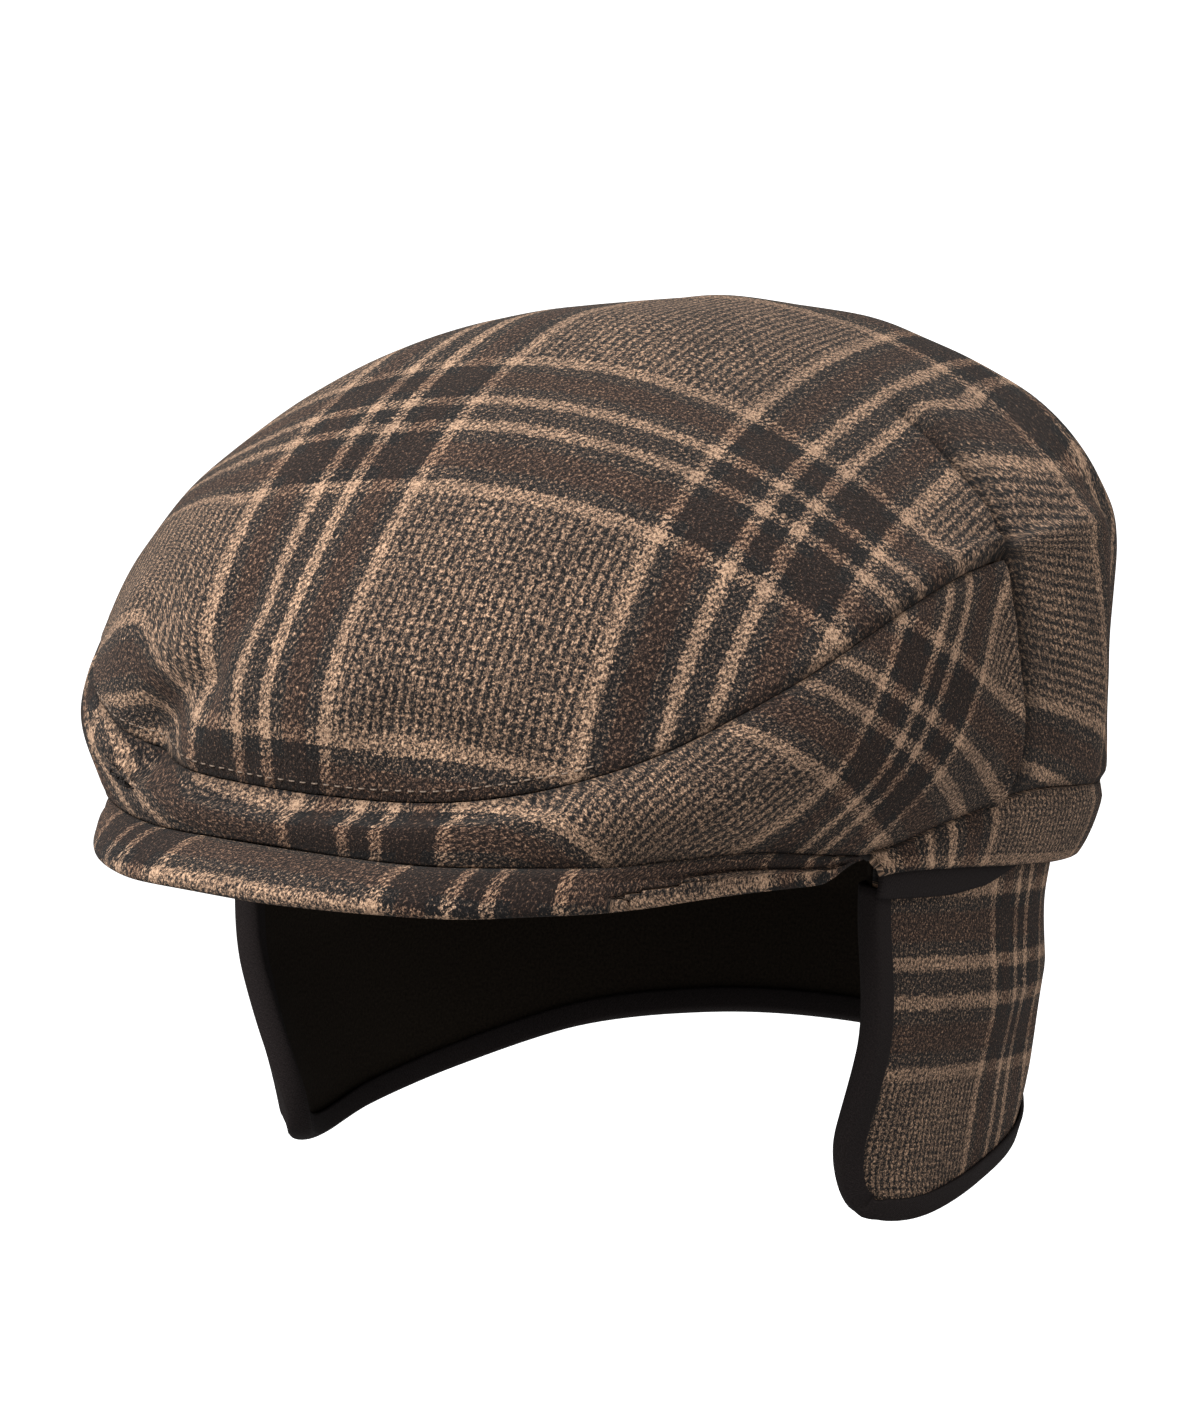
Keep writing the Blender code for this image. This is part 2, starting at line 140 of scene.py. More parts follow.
# Dents and puffs of the worn cloth, each along a line from one point to another.
# A lift is out of the cap, a dent has a negative lift.
DENT_COLUMNS = ("from", "to", "reach", "lift")
DENTS = {
    "crown_back_puff": ((24, 54, 110), (56, 73, 94), 20, 2.9),
    "crown_front_dip": ((-66, -70, 78), (-12, -4, 114), 30, -1.4),
    "front_pinch": ((-43.0, -127.0, 12.0), (-19.5, -140.0, 27.0), 6.5, -4.4),
    "pinch_tail": ((-19.5, -140.0, 27.0), (-12.5, -138.0, 42.0), 7.5, -2.4),
    "pinch_dimple": ((-40.0, -128.5, 9.0), (-34.0, -131.0, 11.0), 7.0, -1.8),
    "puff_beside_pinch": ((-60.0, -112.0, 22.0), (-47.0, -125.0, 34.0), 12.0, 1.9),
    "front_dip": ((27.0, -136.5, 25.0), (52.0, -122.0, 14.5), 6.0, -2.6),
    "front_puff": ((-8.0, -142.0, 30.0), (26.0, -138.0, 33.0), 12.0, 1.6),
    "left_strip_puff": ((60.0, -113.0, 9.0), (84.0, -80.0, 20.0), 10.0, 1.6),
    "strip_dent": ((76.0, -93.0, 26.0), (86.0, -76.0, 16.0), 7.0, -1.2),
    "back_hollow": ((95.0, 10.0, 30.0), (88.0, 12.0, 66.0), 9.0, -1.6),
    "back_ridge": ((91.5, 40.0, 30.0), (84.0, 42.0, 70.0), 10.0, 1.5),
    "back_valley": ((84.0, 60.0, 35.0), (74.0, 60.0, 76.0), 8.0, -1.6),
    "crown_dip": ((20.0, -70.0, 97.0), (45.0, -30.0, 99.0), 26.0, -1.2),
    "right_dent": ((-84.0, -75.0, 38.0), (-70.0, -70.0, 66.0), 12.0, -2.2),
    "right_back_dent": ((-94.0, 20.0, 35.0), (-80.0, 30.0, 74.0), 10.0, -1.8),
    "nape_dent": ((-10.0, 112.0, 40.0), (-22.0, 106.0, 80.0), 12.0, -1.8),
}

# Overlapped fold that runs on above the rear seam: its height and how far back it is
FOLD_LINE = (
    (69.0, -5.4),
    (76.6, -1.8),
    (82.7, -2.4),
    (87.3, -2.6),
    (96.0, -3.4),
)
FOLD_STEP = 2.1
FOLD_REACH = 8.0
FOLD_GROOVE = 1.2
FOLD_TAKE_UP = 3.5
FOLD_FADES = (86.0, 98.0)
# Heights from which the step of the fold, and the turn of its threads, set in
FOLD_BOTTOM = 68.0
FOLD_CLOTH_FROM = 66.0

# Unevenness of the cloth: how far it stands out, and over what distance
UNEVEN = ((0.75, 38.0), (0.22, 13.0))
PUCKER = 0.5
PUCKER_SPACING = 5.5
PUCKER_REACH = 5.0

# Panel edges roll in at a seam: depth and reach
SEAM_ROLL = (1.15, 1.6)
REAR_ROLL = (2.0, 1.8)
CREASE_ROLL = (0.3, 1.2)
BAND_SEAM_ROLL = (1.3, 1.6)
CREASE_DROP = 0.35
REAR_RIDGE = 1.2
REAR_RIDGE_FROM_SEAM = 3.8
REAR_RIDGE_REACH = 2.8
REAR_HOLLOW = 1.3
REAR_HOLLOW_REACH = 8.0
HEM_DEPTHS = (1.2, 2.4, 3.8)
# Past their first depth both hems of a seam lean the same way, so that no light
# shows through. This is the lean for each millimetre of depth at the front seam,
# and at the band it is turned round.
HEM_LEAN = (0.0, 0.35, -0.6)
HEM_LEAN_REACH = 2.0
HEM_LEAN_FROM_REAR = (2.0, 6.0)
# Reach, near the band, in which the rear seam's roll is small
REAR_FADE = 3.5
# Shares of the way round: half the gap of the rear seam, and the columns beside it
REAR_HALF_GAP = 0.0004
SEAM_STEPS = (0.0012, 0.002, 0.0028)

# Painted shade that darkens the cloth's colour beside a seam, where its groove would lie in shadow: depth and
# reach
SEAM_PAINTED_SHADE = (0.5, 1.3)
REAR_PAINTED_SHADE_BEHIND = (0.78, 7.5)
REAR_PAINTED_SHADE_AHEAD = (0.75, 1.5)
BAND_PAINTED_SHADE = (0.5, 1.6)
CREASE_PAINTED_SHADE = (0.4, 1.3)
# Depth of the painted shade behind the fold, the most painted shade anywhere, and the painted shade on the
# hidden hems
FOLD_PAINTED_SHADE = 0.72
MOST_PAINTED_SHADE = 0.85
HEM_PAINTED_SHADE = 0.6

# Plaid cloth, measured across it from the first tan line of a group
TAN_LINES = (0.0, 13.5, 20.5, 34.0)
TAN_HALF_WIDTH = 1.3
BROWN_HALF_WIDTH = 2.6
LONG_REPEAT = 82.0
CROSS_REPEAT = 72.0
LONG_PITCH = 1.9
CROSS_PITCH = 1.35
SLANT_PITCH = 1.5

# How the top panel's cloth lies on the crown
GRAIN = {"start": 53.1, "x": 0.976, "y": 0.212, "z": -0.095}
CROSS_SHEAR = 0.0055
CROSS_PIVOT_Y = -20.0
CROSS_SCALE = 0.673
FIRST_ROW_AT = (6.5, -74.6, 96.4)
REAR_STRETCH = 0.60
PINCH_TAKE_UP = 17.0
SIDE_WRAP = 0.92
# A group of tan lines is 34 mm wide in the pattern and 39 mm on the side and flap
ROW_SCALE = 34.0 / 39.0

# Topstitching on the top panel beside the front seam
STITCH_START = -0.19
STITCH_END = 0.19
STITCH_PITCH = 2.6
STITCH_LENGTH = 1.6
STITCH_WIDTH = 0.34
STITCH_FROM_SEAM = 1.9
# Row of the top panel's grid that lies at this distance
STITCH_ROW = 3
# One stitch from end to end: place along it, width and rise, as shares
STITCH_SHAPE = ((-0.5, 0.35, -0.35), (-0.36, 1.0, 0.1), (0.0, 1.1, 0.22),
                (0.36, 1.0, 0.1), (0.5, 0.35, -0.35))

# Camera, at the photograph's angle to the cap
CAMERA_AZIMUTH = 31.0
CAMERA_ELEVATION = 3.3
CAMERA_ROLL = 6.0
CAMERA_DISTANCE = 1.3
PIXELS_PER_MM = 4.58
IMAGE_HEIGHT = 1426
AIM_RIGHT = -0.0057
AIM_UP = 0.0225

# Points that the outer side of a cloth faces away from
INSIDE_CROWN = (0, 0, 30)
INSIDE_BAND = (0, 0, 8)
INSIDE_STRIP = (0, 0, 5)
INSIDE_FLAP = (0, 0, -40)
FLAP_STACK = FLAP_WOOL + LAYER_GAP + BLACK_CLOTH

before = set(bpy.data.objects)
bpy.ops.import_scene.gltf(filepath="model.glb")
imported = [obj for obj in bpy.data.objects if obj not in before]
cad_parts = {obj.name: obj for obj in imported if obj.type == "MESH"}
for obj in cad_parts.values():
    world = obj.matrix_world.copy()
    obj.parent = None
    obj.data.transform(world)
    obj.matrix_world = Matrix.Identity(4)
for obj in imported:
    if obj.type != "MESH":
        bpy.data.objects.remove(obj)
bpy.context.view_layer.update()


def spline(rows, place):
    """Point or points on a smooth curve through the rows, at places counted in rows."""
    rows = np.asarray(rows, float)
    rows = np.vstack([2 * rows[0] - rows[1], rows, 2 * rows[-1] - rows[-2]])
    place = np.asarray(place, float)
    index = np.clip(np.floor(place), 0, len(rows) - 4).astype(int)
    t = (place - index)[..., None]
    before, a, b, after = (rows[index + step] for step in range(4))
    return 0.5 * (2 * a + (b - before) * t + (2 * before - 5 * a + 4 * b - after) * t ** 2
                  + (3 * a - before - 3 * b + after) * t ** 3)


def path_length(points):
    """Length along a path up to each of its points."""
    return np.concatenate(([0.0], np.cumsum(np.linalg.norm(np.diff(points, axis=0), axis=1))))


def at_length(path, length, place):
    """Point or points of a path at places measured along it."""
    return np.stack([np.interp(place, length, path[:, k]) for k in range(path.shape[1])], axis=-1)


def evenly(curve, shares):
    """Points at shares of the length along a dense curve."""
    length = path_length(curve)
    return at_length(curve, length / length[-1], shares)


def unit(vectors):
    """Vectors brought to a length of 1."""
    return vectors / np.linalg.norm(vectors, axis=-1, keepdims=True)


def smooth_step(value):
    """Smooth rise from 0 to 1."""
    value = np.clip(value, 0, 1)
    return value * value * (3 - 2 * value)


def ring_heights(angle, front_z, corner_z, side_z, rear_z, back_z):
    """Smooth height round a ring from five named heights."""
    marks = np.radians([0, 45, 90, 135, 180])
    waves = np.cos(np.outer(marks, np.arange(5)))
    weights = np.linalg.solve(waves, [front_z, corner_z, side_z, rear_z, back_z])
    return np.cos(np.outer(angle, np.arange(5))) @ weights


def half_oval(half_width, widest_y, front_y, back_y, squareness):
    """Left half of an oval from front to back, and the angle of each point."""
    angle = np.linspace(0, np.pi, 721)
    power = 2 / squareness
    sine = np.abs(np.sin(angle)) ** power
    cosine = np.sign(np.cos(angle)) * np.abs(np.cos(angle)) ** power
    reach = np.where(cosine > 0, widest_y - front_y, back_y - widest_y)
    return half_width * sine, widest_y - reach * cosine, angle


def ring_curve(name):
    """Left half of a named crown ring, from front to back."""
    sizes = dict(zip(RING_COLUMNS, RINGS[name]))
    heights = [sizes.pop(key) for key in RING_COLUMNS[4:]]
    x, y, angle = half_oval(squareness=CROWN_SQUARENESS, **sizes)
    return np.stack([x, y, ring_heights(angle, *heights)], axis=1)


def line_curve(line):
    """Left half of a line given by its points, from front to back."""
    rows = np.array(line)
    mirror = np.array([-1, 1, 1])
    rows = np.vstack([rows[1] * mirror, rows, rows[-2] * mirror])
    return spline(rows, np.linspace(1, len(rows) - 2, 721))


def rim_curve():
    """Left half of the rim, from front to back."""
    x, y, _ = half_oval(RIM_HALF_WIDTH, 0, -RIM_HALF_LENGTH, RIM_HALF_LENGTH, RIM_SQUARENESS)
    return np.stack([x, y, 0 * x], axis=1)


CURVES = [rim_curve(), line_curve(LOWER_EDGE), ring_curve("wide"), line_curve(SEAM)]
CURVES += [ring_curve(name) for name in ("brow", "shoulder", "upper_dome", "top_dome")]
LEVEL_RIM, LEVEL_EDGE, LEVEL_WIDE, LEVEL_SEAM = 0, 1, 2, 3
LEVEL_APEX = len(CURVES)

# The peak's end sits at the first share round the lower edge and at the
# second share round the rim
RIM_MATCH = ((0, 0.403, 1), (0, 0.376, 1))


def profile(share, side):
    """Rows of one upright section of the crown, from rim to apex and beyond."""
    near = np.array([evenly(curve, [share])[0] for curve in CURVES])
    near[0] = evenly(CURVES[LEVEL_RIM], [np.interp(share, *RIM_MATCH)])[0]
    far = evenly(CURVES[-1], [1 - share]) * np.array([-side, 1, 1])
    near[:, 0] *= side
    return np.vstack([near, APEX, far])


def crown_point(section, level):
    """Point or points of a section at levels from its lower edge to the apex."""
    return spline(section[LEVEL_EDGE:], np.asarray(level) - LEVEL_EDGE)


def band_point(section, level):
    """Point of a section at a level between the rim and the lower edge of the crown."""
    start, end = section[LEVEL_RIM], section[LEVEL_EDGE]
    out = 0.65 * np.sin(np.pi / 2 * level) + 0.35 * level
    rise = 1 - np.cos(np.pi / 2 * level)
    point = start + (end - start) * out
    point[2] = start[2] + (end[2] - start[2]) * (0.55 * rise + 0.45 * level)
    return point


def level_after(section, level, distance):
    """Level at a small distance up the section from a given level."""
    step = 0.01 if level < LEVEL_APEX - 0.02 else -0.01
    length = np.linalg.norm(crown_point(section, level + step) - crown_point(section, level))
    return level + distance / length * abs(step)


def spaced(start, end, middle_count, first_steps, last_steps=()):
    """Values from start to end, with small given steps at one or both ends."""
    head = start + np.cumsum((0,) + tuple(first_steps))
    tail = end - np.cumsum((0,) + tuple(last_steps))
    middle = np.linspace(head[-1], tail[-1], middle_count + 2)[1:-1]
    return np.concatenate([head, middle, tail[::-1]])


def grid_faces(rows, columns, closed=False):
    """Four-sided faces of a grid, with its columns joined end to end if closed."""
    faces = []
    for row in range(rows - 1):
        for column in range(columns if closed else columns - 1):
            after = (column + 1) % columns
            faces.append((row * columns + column, row * columns + after,
                          (row + 1) * columns + after, (row + 1) * columns + column))
    return faces


def tube_faces(rows, columns):
    """Faces of a closed grid, with a flat face at each end."""
    last = (rows - 1) * columns
    ends = [tuple(range(columns)), tuple(range(last + columns - 1, last - 1, -1))]
    return grid_faces(rows, columns, closed=True) + ends


def shifted(faces, first):
    """Faces whose points start at a later number."""
    return [tuple(first + corner for corner in face) for face in faces]


def sections_round(half, closed=False):
    """Shares right round the cap from those of its left half, and the section at each."""
    right = half[-2:0:-1] if closed else half[-2::-1]
    sections = [profile(share, 1) for share in half] + [profile(share, -1) for share in right]
    return np.concatenate([half, -right]), sections


def distance_to_line(points, start, end):
    """Distance of many points from a straight line between two points."""
    start, end = np.array(start), np.array(end)
    along = end - start
    share = np.clip(((points - start) @ along) / (along @ along), 0, 1)
    return np.linalg.norm(points - start - share[:, None] * along, axis=1)


def tree_of(points):
    """Points in a form that finds the nearest of them fast."""
    tree = KDTree(len(points))
    for index, place in enumerate(points):
        tree.insert(place, index)
    tree.balance()
    return tree


def distance_to_curve(points, curve):
    """Distance of many points from the nearest point of a dense curve, on either side."""
    tree = tree_of(np.vstack([curve, curve * np.array([-1, 1, 1])]))
    return np.array([tree.find(point)[2] for point in points])


def line_between(level, start, end):
    """A level line of the crown between two shares."""
    return evenly(CURVES[level], np.linspace(start, end, 500))


def crown_normals(points):
    """Normals of the even crown at points on it, the same on both sides of every seam."""
    _, sections = sections_round(np.linspace(0, 1, 180), closed=True)
    levels = np.linspace(LEVEL_EDGE, LEVEL_APEX, 110)[:-1]
    grid = np.swapaxes(np.array([crown_point(section, levels) for section in sections]), 0, 1)
    even = grid.reshape(-1, 3)
    normals = even_normals(even, grid_faces(len(levels), len(sections), closed=True), INSIDE_CROWN)
    tree = tree_of(even)
    result = []
    for point in points:
        near = tree.find_n(point, 4)
        result.append(sum(normals[index] / (distance + 0.05) for _, index, distance in near))
    return unit(np.array(result))


def roll(distance, depth, reach):
    """How far an edge rolls in, or how dark the painted shade is, at a distance from its seam."""
    return depth * np.exp(-(distance / reach) ** 2)


def add_object(name, data):
    """Object of some data, in the scene."""
    item = bpy.data.objects.new(name, data)
    bpy.context.scene.collection.objects.link(item)
    return item


def lift_of_cloth(points):
    """How far worn cloth stands out of, or is dented into, the even crown."""
    lift = np.zeros(len(points))
    for values in DENTS.values():
        dent = dict(zip(DENT_COLUMNS, values))
        away = distance_to_line(points, dent["from"], dent["to"])
        lift += roll(away, dent["lift"], dent["reach"])
    for height, spacing in UNEVEN:
        lift += height * np.array([noise.noise(Vector(point / spacing)) for point in points])
    return lift


def kept_at_band(from_band):
    """Share of the crown's dents that is left near the band, where the band's is 0.4."""
    return 1 - roll(from_band, 0.6, 14)


def rear_kept(from_band):
    """Share of the rear seam's roll that is left near the band, so that no hole opens there."""
    return 1 - roll(from_band, 0.8, REAR_FADE)


def puckers(points, from_seam):
    """Small waves of the cloth where it is sewn."""
    waves = np.array([noise.noise(Vector(point / PUCKER_SPACING)) for point in points])
    return waves * roll(from_seam, PUCKER, PUCKER_REACH)


def seam_distances(points):
    """How far points are from the front seam, the rear seam and the band."""
    rear = crown_point(profile(REAR_SEAM, 1), np.linspace(LEVEL_EDGE, LEVEL_SEAM, 120))
    return (distance_to_curve(points, line_between(LEVEL_SEAM, 0, REAR_SEAM)),
            distance_to_curve(points, rear),
            distance_to_curve(points, line_between(LEVEL_EDGE, BAND_START, 1)))


def panel_lift(points, from_seam, from_rear, from_band):
    """Lift of a crown panel: its dents, and its edges rolled in at the seams."""
    at_rear = roll(from_rear, *REAR_ROLL) * rear_kept(from_band)
    dents = lift_of_cloth(points) * kept_at_band(from_band)
    return dents - np.maximum(roll(from_seam, *SEAM_ROLL), at_rear)


def behind_fold(points):
    """How far points are behind the line of the fold above the rear seam."""
    line = np.array(FOLD_LINE)
    return points[:, 1] - np.interp(points[:, 2], line[:, 0], line[:, 1])


def overlap_fold(points):
    """Step of the fold above the rear seam: its front lies over its back."""
    behind = behind_fold(points)
    start, end = FOLD_FADES
    fade = smooth_step((end - points[:, 2]) / (end - start)) * smooth_step((points[:, 2] - FOLD_BOTTOM) / 5)
    step = -0.15 - np.tanh(behind)
    lift = (step * roll(behind, FOLD_STEP, FOLD_REACH) - roll(behind - 2.2, FOLD_GROOVE, 1.8)) * fade
    return np.where(points[:, 0] > 0, lift, 0.0)


def fold_painted_shade(points):
    """How dark the painted shade is behind the fold, where the overlap would cast its shadow."""
    behind, z = behind_fold(points), points[:, 2]
    reach = 4.0 + 7.0 * smooth_step((z - FOLD_BOTTOM) / 18)
    on_left = (points[:, 0] > 0) & (behind > 0) & (z > FOLD_CLOTH_FROM)
    dark = roll(behind, FOLD_PAINTED_SHADE, reach) * smooth_step((FOLD_FADES[1] - z) / 10)
    return np.where(on_left, dark, 0.0)


def mesh_object(name, points, faces):
    """Mesh object in metres from points in millimetres, smooth all over."""
    mesh = bpy.data.meshes.new(name)
    mesh.from_pydata((np.asarray(points) * MM).tolist(), [], faces)
    work = bmesh.new()
    work.from_mesh(mesh)
    bmesh.ops.recalc_face_normals(work, faces=work.faces)
    work.to_mesh(mesh)
    work.free()
    mesh.shade_smooth()
    return add_object(name, mesh)


def face_outward(item, towards):
    """Turns an open cloth surface so that it faces away from a point."""
    mesh = item.data
    centre = Vector(towards) * MM
    facing = sum(face.normal.dot(face.center - centre) * face.area for face in mesh.polygons)
    if facing < 0:
        mesh.flip_normals()


def even_normals(points, faces, centre):
    """Normals at the points of a surface, away from a centre."""
    even = mesh_object("even_surface", points, faces)
    face_outward(even, centre)
    normals = np.zeros(3 * len(points))
    even.data.vertices.foreach_get("normal", normals)
    bpy.data.meshes.remove(even.data)
    return normals.reshape(-1, 3)


def lay_cloth(item, across, along):
    """Stores the flat cloth's own coordinates, in metres, as the piece's UV map."""
    layer = item.data.uv_layers.new(name="cloth")
    corners = np.zeros(len(item.data.loops), int)
    item.data.loops.foreach_get("vertex_index", corners)
    places = np.stack([np.asarray(across)[corners], np.asarray(along)[corners]], axis=1) * MM
    layer.data.foreach_set("uv", places.ravel())


def hem_leaning(from_seam, from_rear, from_band):
    """How far hems lean: down along the front seam, up along the band, upright at the rear seam."""
    start, end = HEM_LEAN_FROM_REAR
    along_front = roll(from_seam, 1.0, HEM_LEAN_REACH) * smooth_step((from_rear - start) / (end - start))
    return along_front - roll(from_band, 1.0, HEM_LEAN_REACH)


def sewn_cloth(name, points, faces, lift, across, along, edge, centre, thickness,
               leaning, closed=True, painted_shade=None, normals=None):
    """Cloth piece lifted off its even shape, with its sewn edge turned in behind the seam.

    The edge is a row of point numbers, and closed says whether its ends join up.
    """
    if normals is None:
        normals = even_normals(points, faces, centre)
    edge = np.asarray(edge)
    moved = points + normals * lift[:, None]
    leans = np.outer(leaning[edge], HEM_LEAN)
    hems = [moved[edge] - normals[edge] * depth + leans * (depth - HEM_DEPTHS[0]) for depth in HEM_DEPTHS]
    below = len(points) + np.arange(len(HEM_DEPTHS) * len(edge))
    numbers = np.vstack([edge, below.reshape(len(HEM_DEPTHS), -1)])
    places = np.arange(len(edge) if closed else len(edge) - 1)
    after = (places + 1) % len(edge)
    faces = list(faces)
    for upper, lower in zip(numbers, numbers[1:]):
        faces += np.stack([upper[places], upper[after], lower[after], lower[places]], axis=1).tolist()
    moved = np.vstack([moved] + hems)
    sources = np.concatenate([np.arange(len(points))] + [edge] * len(HEM_DEPTHS))
    item = mesh_object(name, moved, faces)
    face_outward(item, centre)
    lay_cloth(item, np.asarray(across)[sources], np.asarray(along)[sources])
    # Painted shade: a per-point attribute that darkens the colour in seam grooves and behind the fold, and a
    # fixed painted shade on the hidden hems
    if painted_shade is not None:
        layer = item.data.attributes.new("painted_shade", "FLOAT", "POINT")
        hem_painted_shade = np.full(len(moved) - len(points), HEM_PAINTED_SHADE)
        layer.data.foreach_set("value", np.concatenate([np.clip(painted_shade, 0, MOST_PAINTED_SHADE), hem_painted_shade]))
    thicken(item, thickness)
    return item, moved, normals


def thicken(item, thickness):
    """Gives an open cloth surface its thickness, with its own cloth on the inner side."""
    solid = item.modifiers.new("Thickness", "SOLIDIFY")
    solid.thickness = thickness * MM
    solid.offset = -1
    solid.use_even_offset = False
    solid.use_rim = True
    solid.material_offset = 1


def cross_angle(points):
    """Angle that tells how far back a point is, the same all along a cross thread."""
    x, y, z = np.asarray(points).T
    return np.arctan2(z, CROSS_PIVOT_Y - (y - CROSS_SHEAR * x * z))


def level_threads(points, across):
    """Cloth coordinate across, with threads that run level behind the fold on the left."""
    x, y, z = points.T
    behind = behind_fold(points)
    near = (x > 0) & (np.abs(behind) < 2) & (z > FOLD_CLOTH_FROM)
    at_fold = np.polyval(np.polyfit(z[near], across[near], 3), np.clip(z, FOLD_CLOTH_FROM, 104))
    turn = 1.2 + 24 * smooth_step((z - 80) / 16)
    upper = smooth_step((104 - z) / (10 + 14 * smooth_step((y - 20) / 50)))
    share = smooth_step(behind / turn) * upper * smooth_step((112 - y) / 56)
    hidden = FOLD_TAKE_UP * smooth_step((z - FOLD_CLOTH_FROM) / 22)
    return across + np.where(x > 0, (at_fold + hidden - across) * share, 0.0)


def crown_cloth(points):
    """Flat cloth coordinates of points on the top panel above its seam."""
    x, _, z = points.T
    across = GRAIN["start"] + points @ np.array([GRAIN["x"], GRAIN["y"], GRAIN["z"]])
    front = crown_point(profile(0, 1), np.linspace(LEVEL_SEAM, LEVEL_APEX, 200))
    back = crown_point(profile(1, 1), np.linspace(LEVEL_APEX, LEVEL_EDGE, 200)[1:])
    middle = np.vstack([front, back])
    angles, lengths = cross_angle(middle), path_length(middle)
    first_row, length = (np.interp(cross_angle(place), angles, lengths)
                         for place in (np.array([FIRST_ROW_AT]), points))
    ahead = first_row - length
    along = np.where(ahead > 0, ahead, ahead * REAR_STRETCH) * CROSS_SCALE
    take_up = PINCH_TAKE_UP * smooth_step((-x - 22) / 21) * smooth_step((72 - z) / 34)
    return level_threads(points, across), along + take_up


def top_panel():
    """Crown cloth from the front seam over the apex and down the back."""
    front = spaced(0, REAR_SEAM - REAR_HALF_GAP, 145, (), SEAM_STEPS)
    back = spaced(REAR_SEAM + REAR_HALF_GAP, 1, 76, SEAM_STEPS)
    shares, sections = sections_round(np.concatenate([front, back]), closed=True)
    columns = len(shares)
    near_seam = np.array((0.0, 0.6, 1.2, STITCH_FROM_SEAM, 2.7, 3.7, 5.0))
    upward = np.linspace(0, 1, 80)[1:-1]
    grid = []
    for section in sections:
        low = level_after(section, LEVEL_SEAM, SEAM_HALF_GAP)
        start = level_after(section, LEVEL_SEAM, near_seam[-1] + SEAM_HALF_GAP)
        near = low + (start - low) * near_seam / near_seam[-1]
        grid.append(crown_point(section, np.concatenate([near, start + (LEVEL_APEX - start) * upward])))
    grid = np.swapaxes(np.array(grid), 0, 1)
    rows = len(grid)
    upper = np.vstack([grid.reshape(-1, 3), [APEX]])
    faces = grid_faces(rows, columns, closed=True)
    last = (rows - 1) * columns
    faces += [(last + column, last + (column + 1) % columns, rows * columns) for column in range(columns)]
    across, along = crown_cloth(upper)

    # The back below the seam's height, between the two rear seams
    back_columns = np.arange(len(front), columns - len(front) + 1)
    downward = spaced(0, 1, 34, (0.010, 0.013, 0.017, 0.022))[:-1]
    lower = []
    for section in sections[len(front):columns - len(front) + 1]:
        low = level_after(section, LEVEL_EDGE, SEAM_HALF_GAP)
        high = level_after(section, LEVEL_SEAM, SEAM_HALF_GAP)
        lower.append(crown_point(section, low + (high - low) * downward))
    lower = np.swapaxes(np.array(lower), 0, 1)
    outward = unit(lower[..., :2])
    drop = np.linalg.norm(lower - grid[0][back_columns], axis=2)
    lower_across = across[back_columns] + SIDE_WRAP * drop * outward[..., 0]
    down_back = smooth_step((outward[..., 1] - 0.45) / 0.4)
    lower_along = along[back_columns] + 0.15 * drop - 0.9 * drop * down_back
    width, first = len(back_columns), len(upper)
    faces += shifted(grid_faces(len(lower), width), first)
    joined = first + (len(lower) - 1) * width + np.arange(width)
    faces += np.stack([joined[:-1], joined[1:], back_columns[1:], back_columns[:-1]], axis=1).tolist()

    points = np.vstack([upper, lower.reshape(-1, 3)])
    from_seam, from_rear, from_band = distances = seam_distances(points)
    lift = panel_lift(points, *distances) + overlap_fold(points) + puckers(points, from_seam)
    lift -= roll(from_band, *BAND_SEAM_ROLL)
    lift -= roll(from_rear, REAR_HOLLOW, REAR_HOLLOW_REACH) * rear_kept(from_band)
    # Painted shade beside the front seam, rear seam and band, and behind the fold
    painted_shade = roll(from_seam, *SEAM_PAINTED_SHADE) + roll(from_rear, *REAR_PAINTED_SHADE_BEHIND)
    painted_shade += roll(from_band, *BAND_PAINTED_SHADE) + fold_painted_shade(points)
    left_side = first + np.arange(len(lower)) * width
    edge = np.concatenate([
        np.arange(columns - len(front) + 1, columns), np.arange(len(front)), back_columns[:1],
        left_side[::-1], first + np.arange(1, width - 1), left_side + width - 1, back_columns[-1:]])
    item, moved, normals = sewn_cloth(
        "top_panel_cloth", points, faces, lift, np.concatenate([across, lower_across.ravel()]),
        np.concatenate([along, lower_along.ravel()]), edge, INSIDE_CROWN, PANEL_CLOTH,
        hem_leaning(*distances), painted_shade=painted_shade, normals=crown_normals(points))
    stitched = np.flatnonzero((shares >= STITCH_START) & (shares <= STITCH_END))
    stitched = STITCH_ROW * columns + stitched[np.argsort(shares[stitched])]
    return item, moved[stitched], normals[stitched]


def topstitching(path, normals):
    """Short thread stitches that lie on the cloth along a path."""
    length = path_length(path)
    turns = np.radians(np.arange(0, 360, 60))
    points, faces = [], []
    for centre in np.arange(2.0, length[-1] - 2.0, STITCH_PITCH):
        faces += shifted(tube_faces(len(STITCH_SHAPE), len(turns)), len(points))
        for along, width, rise in STITCH_SHAPE:
            place = centre + along * STITCH_LENGTH
            point = at_length(path, length, place)
            up = at_length(normals, length, place)
            side = unit(np.cross(at_length(path, length, place + 0.3) - point, up))
            for turn in turns:
                reach = side * np.cos(turn) + up * np.sin(turn) * 0.6
                points.append(point + up * rise * 0.9 + reach * width * STITCH_WIDTH / 2)
    item = mesh_object("front_topstitching", points, faces)
    lay_cloth(item, np.zeros(len(points)), np.array(points)[:, 0])
    return item


# Where the side panel's cloth lies: distance round from the middle of the
# front on the wearer's left and right, and distance across the plaid there
LEFT_STRIP = ((0.0, -4.0), (39.0, 35.0), (118.0, 82.0), (150.0, 116.0), (360.0, 326.0))
RIGHT_STRIP = ((0.0, -4.0), (58.0, -44.0), (118.0, -82.0), (150.0, -116.0), (360.0, -326.0))


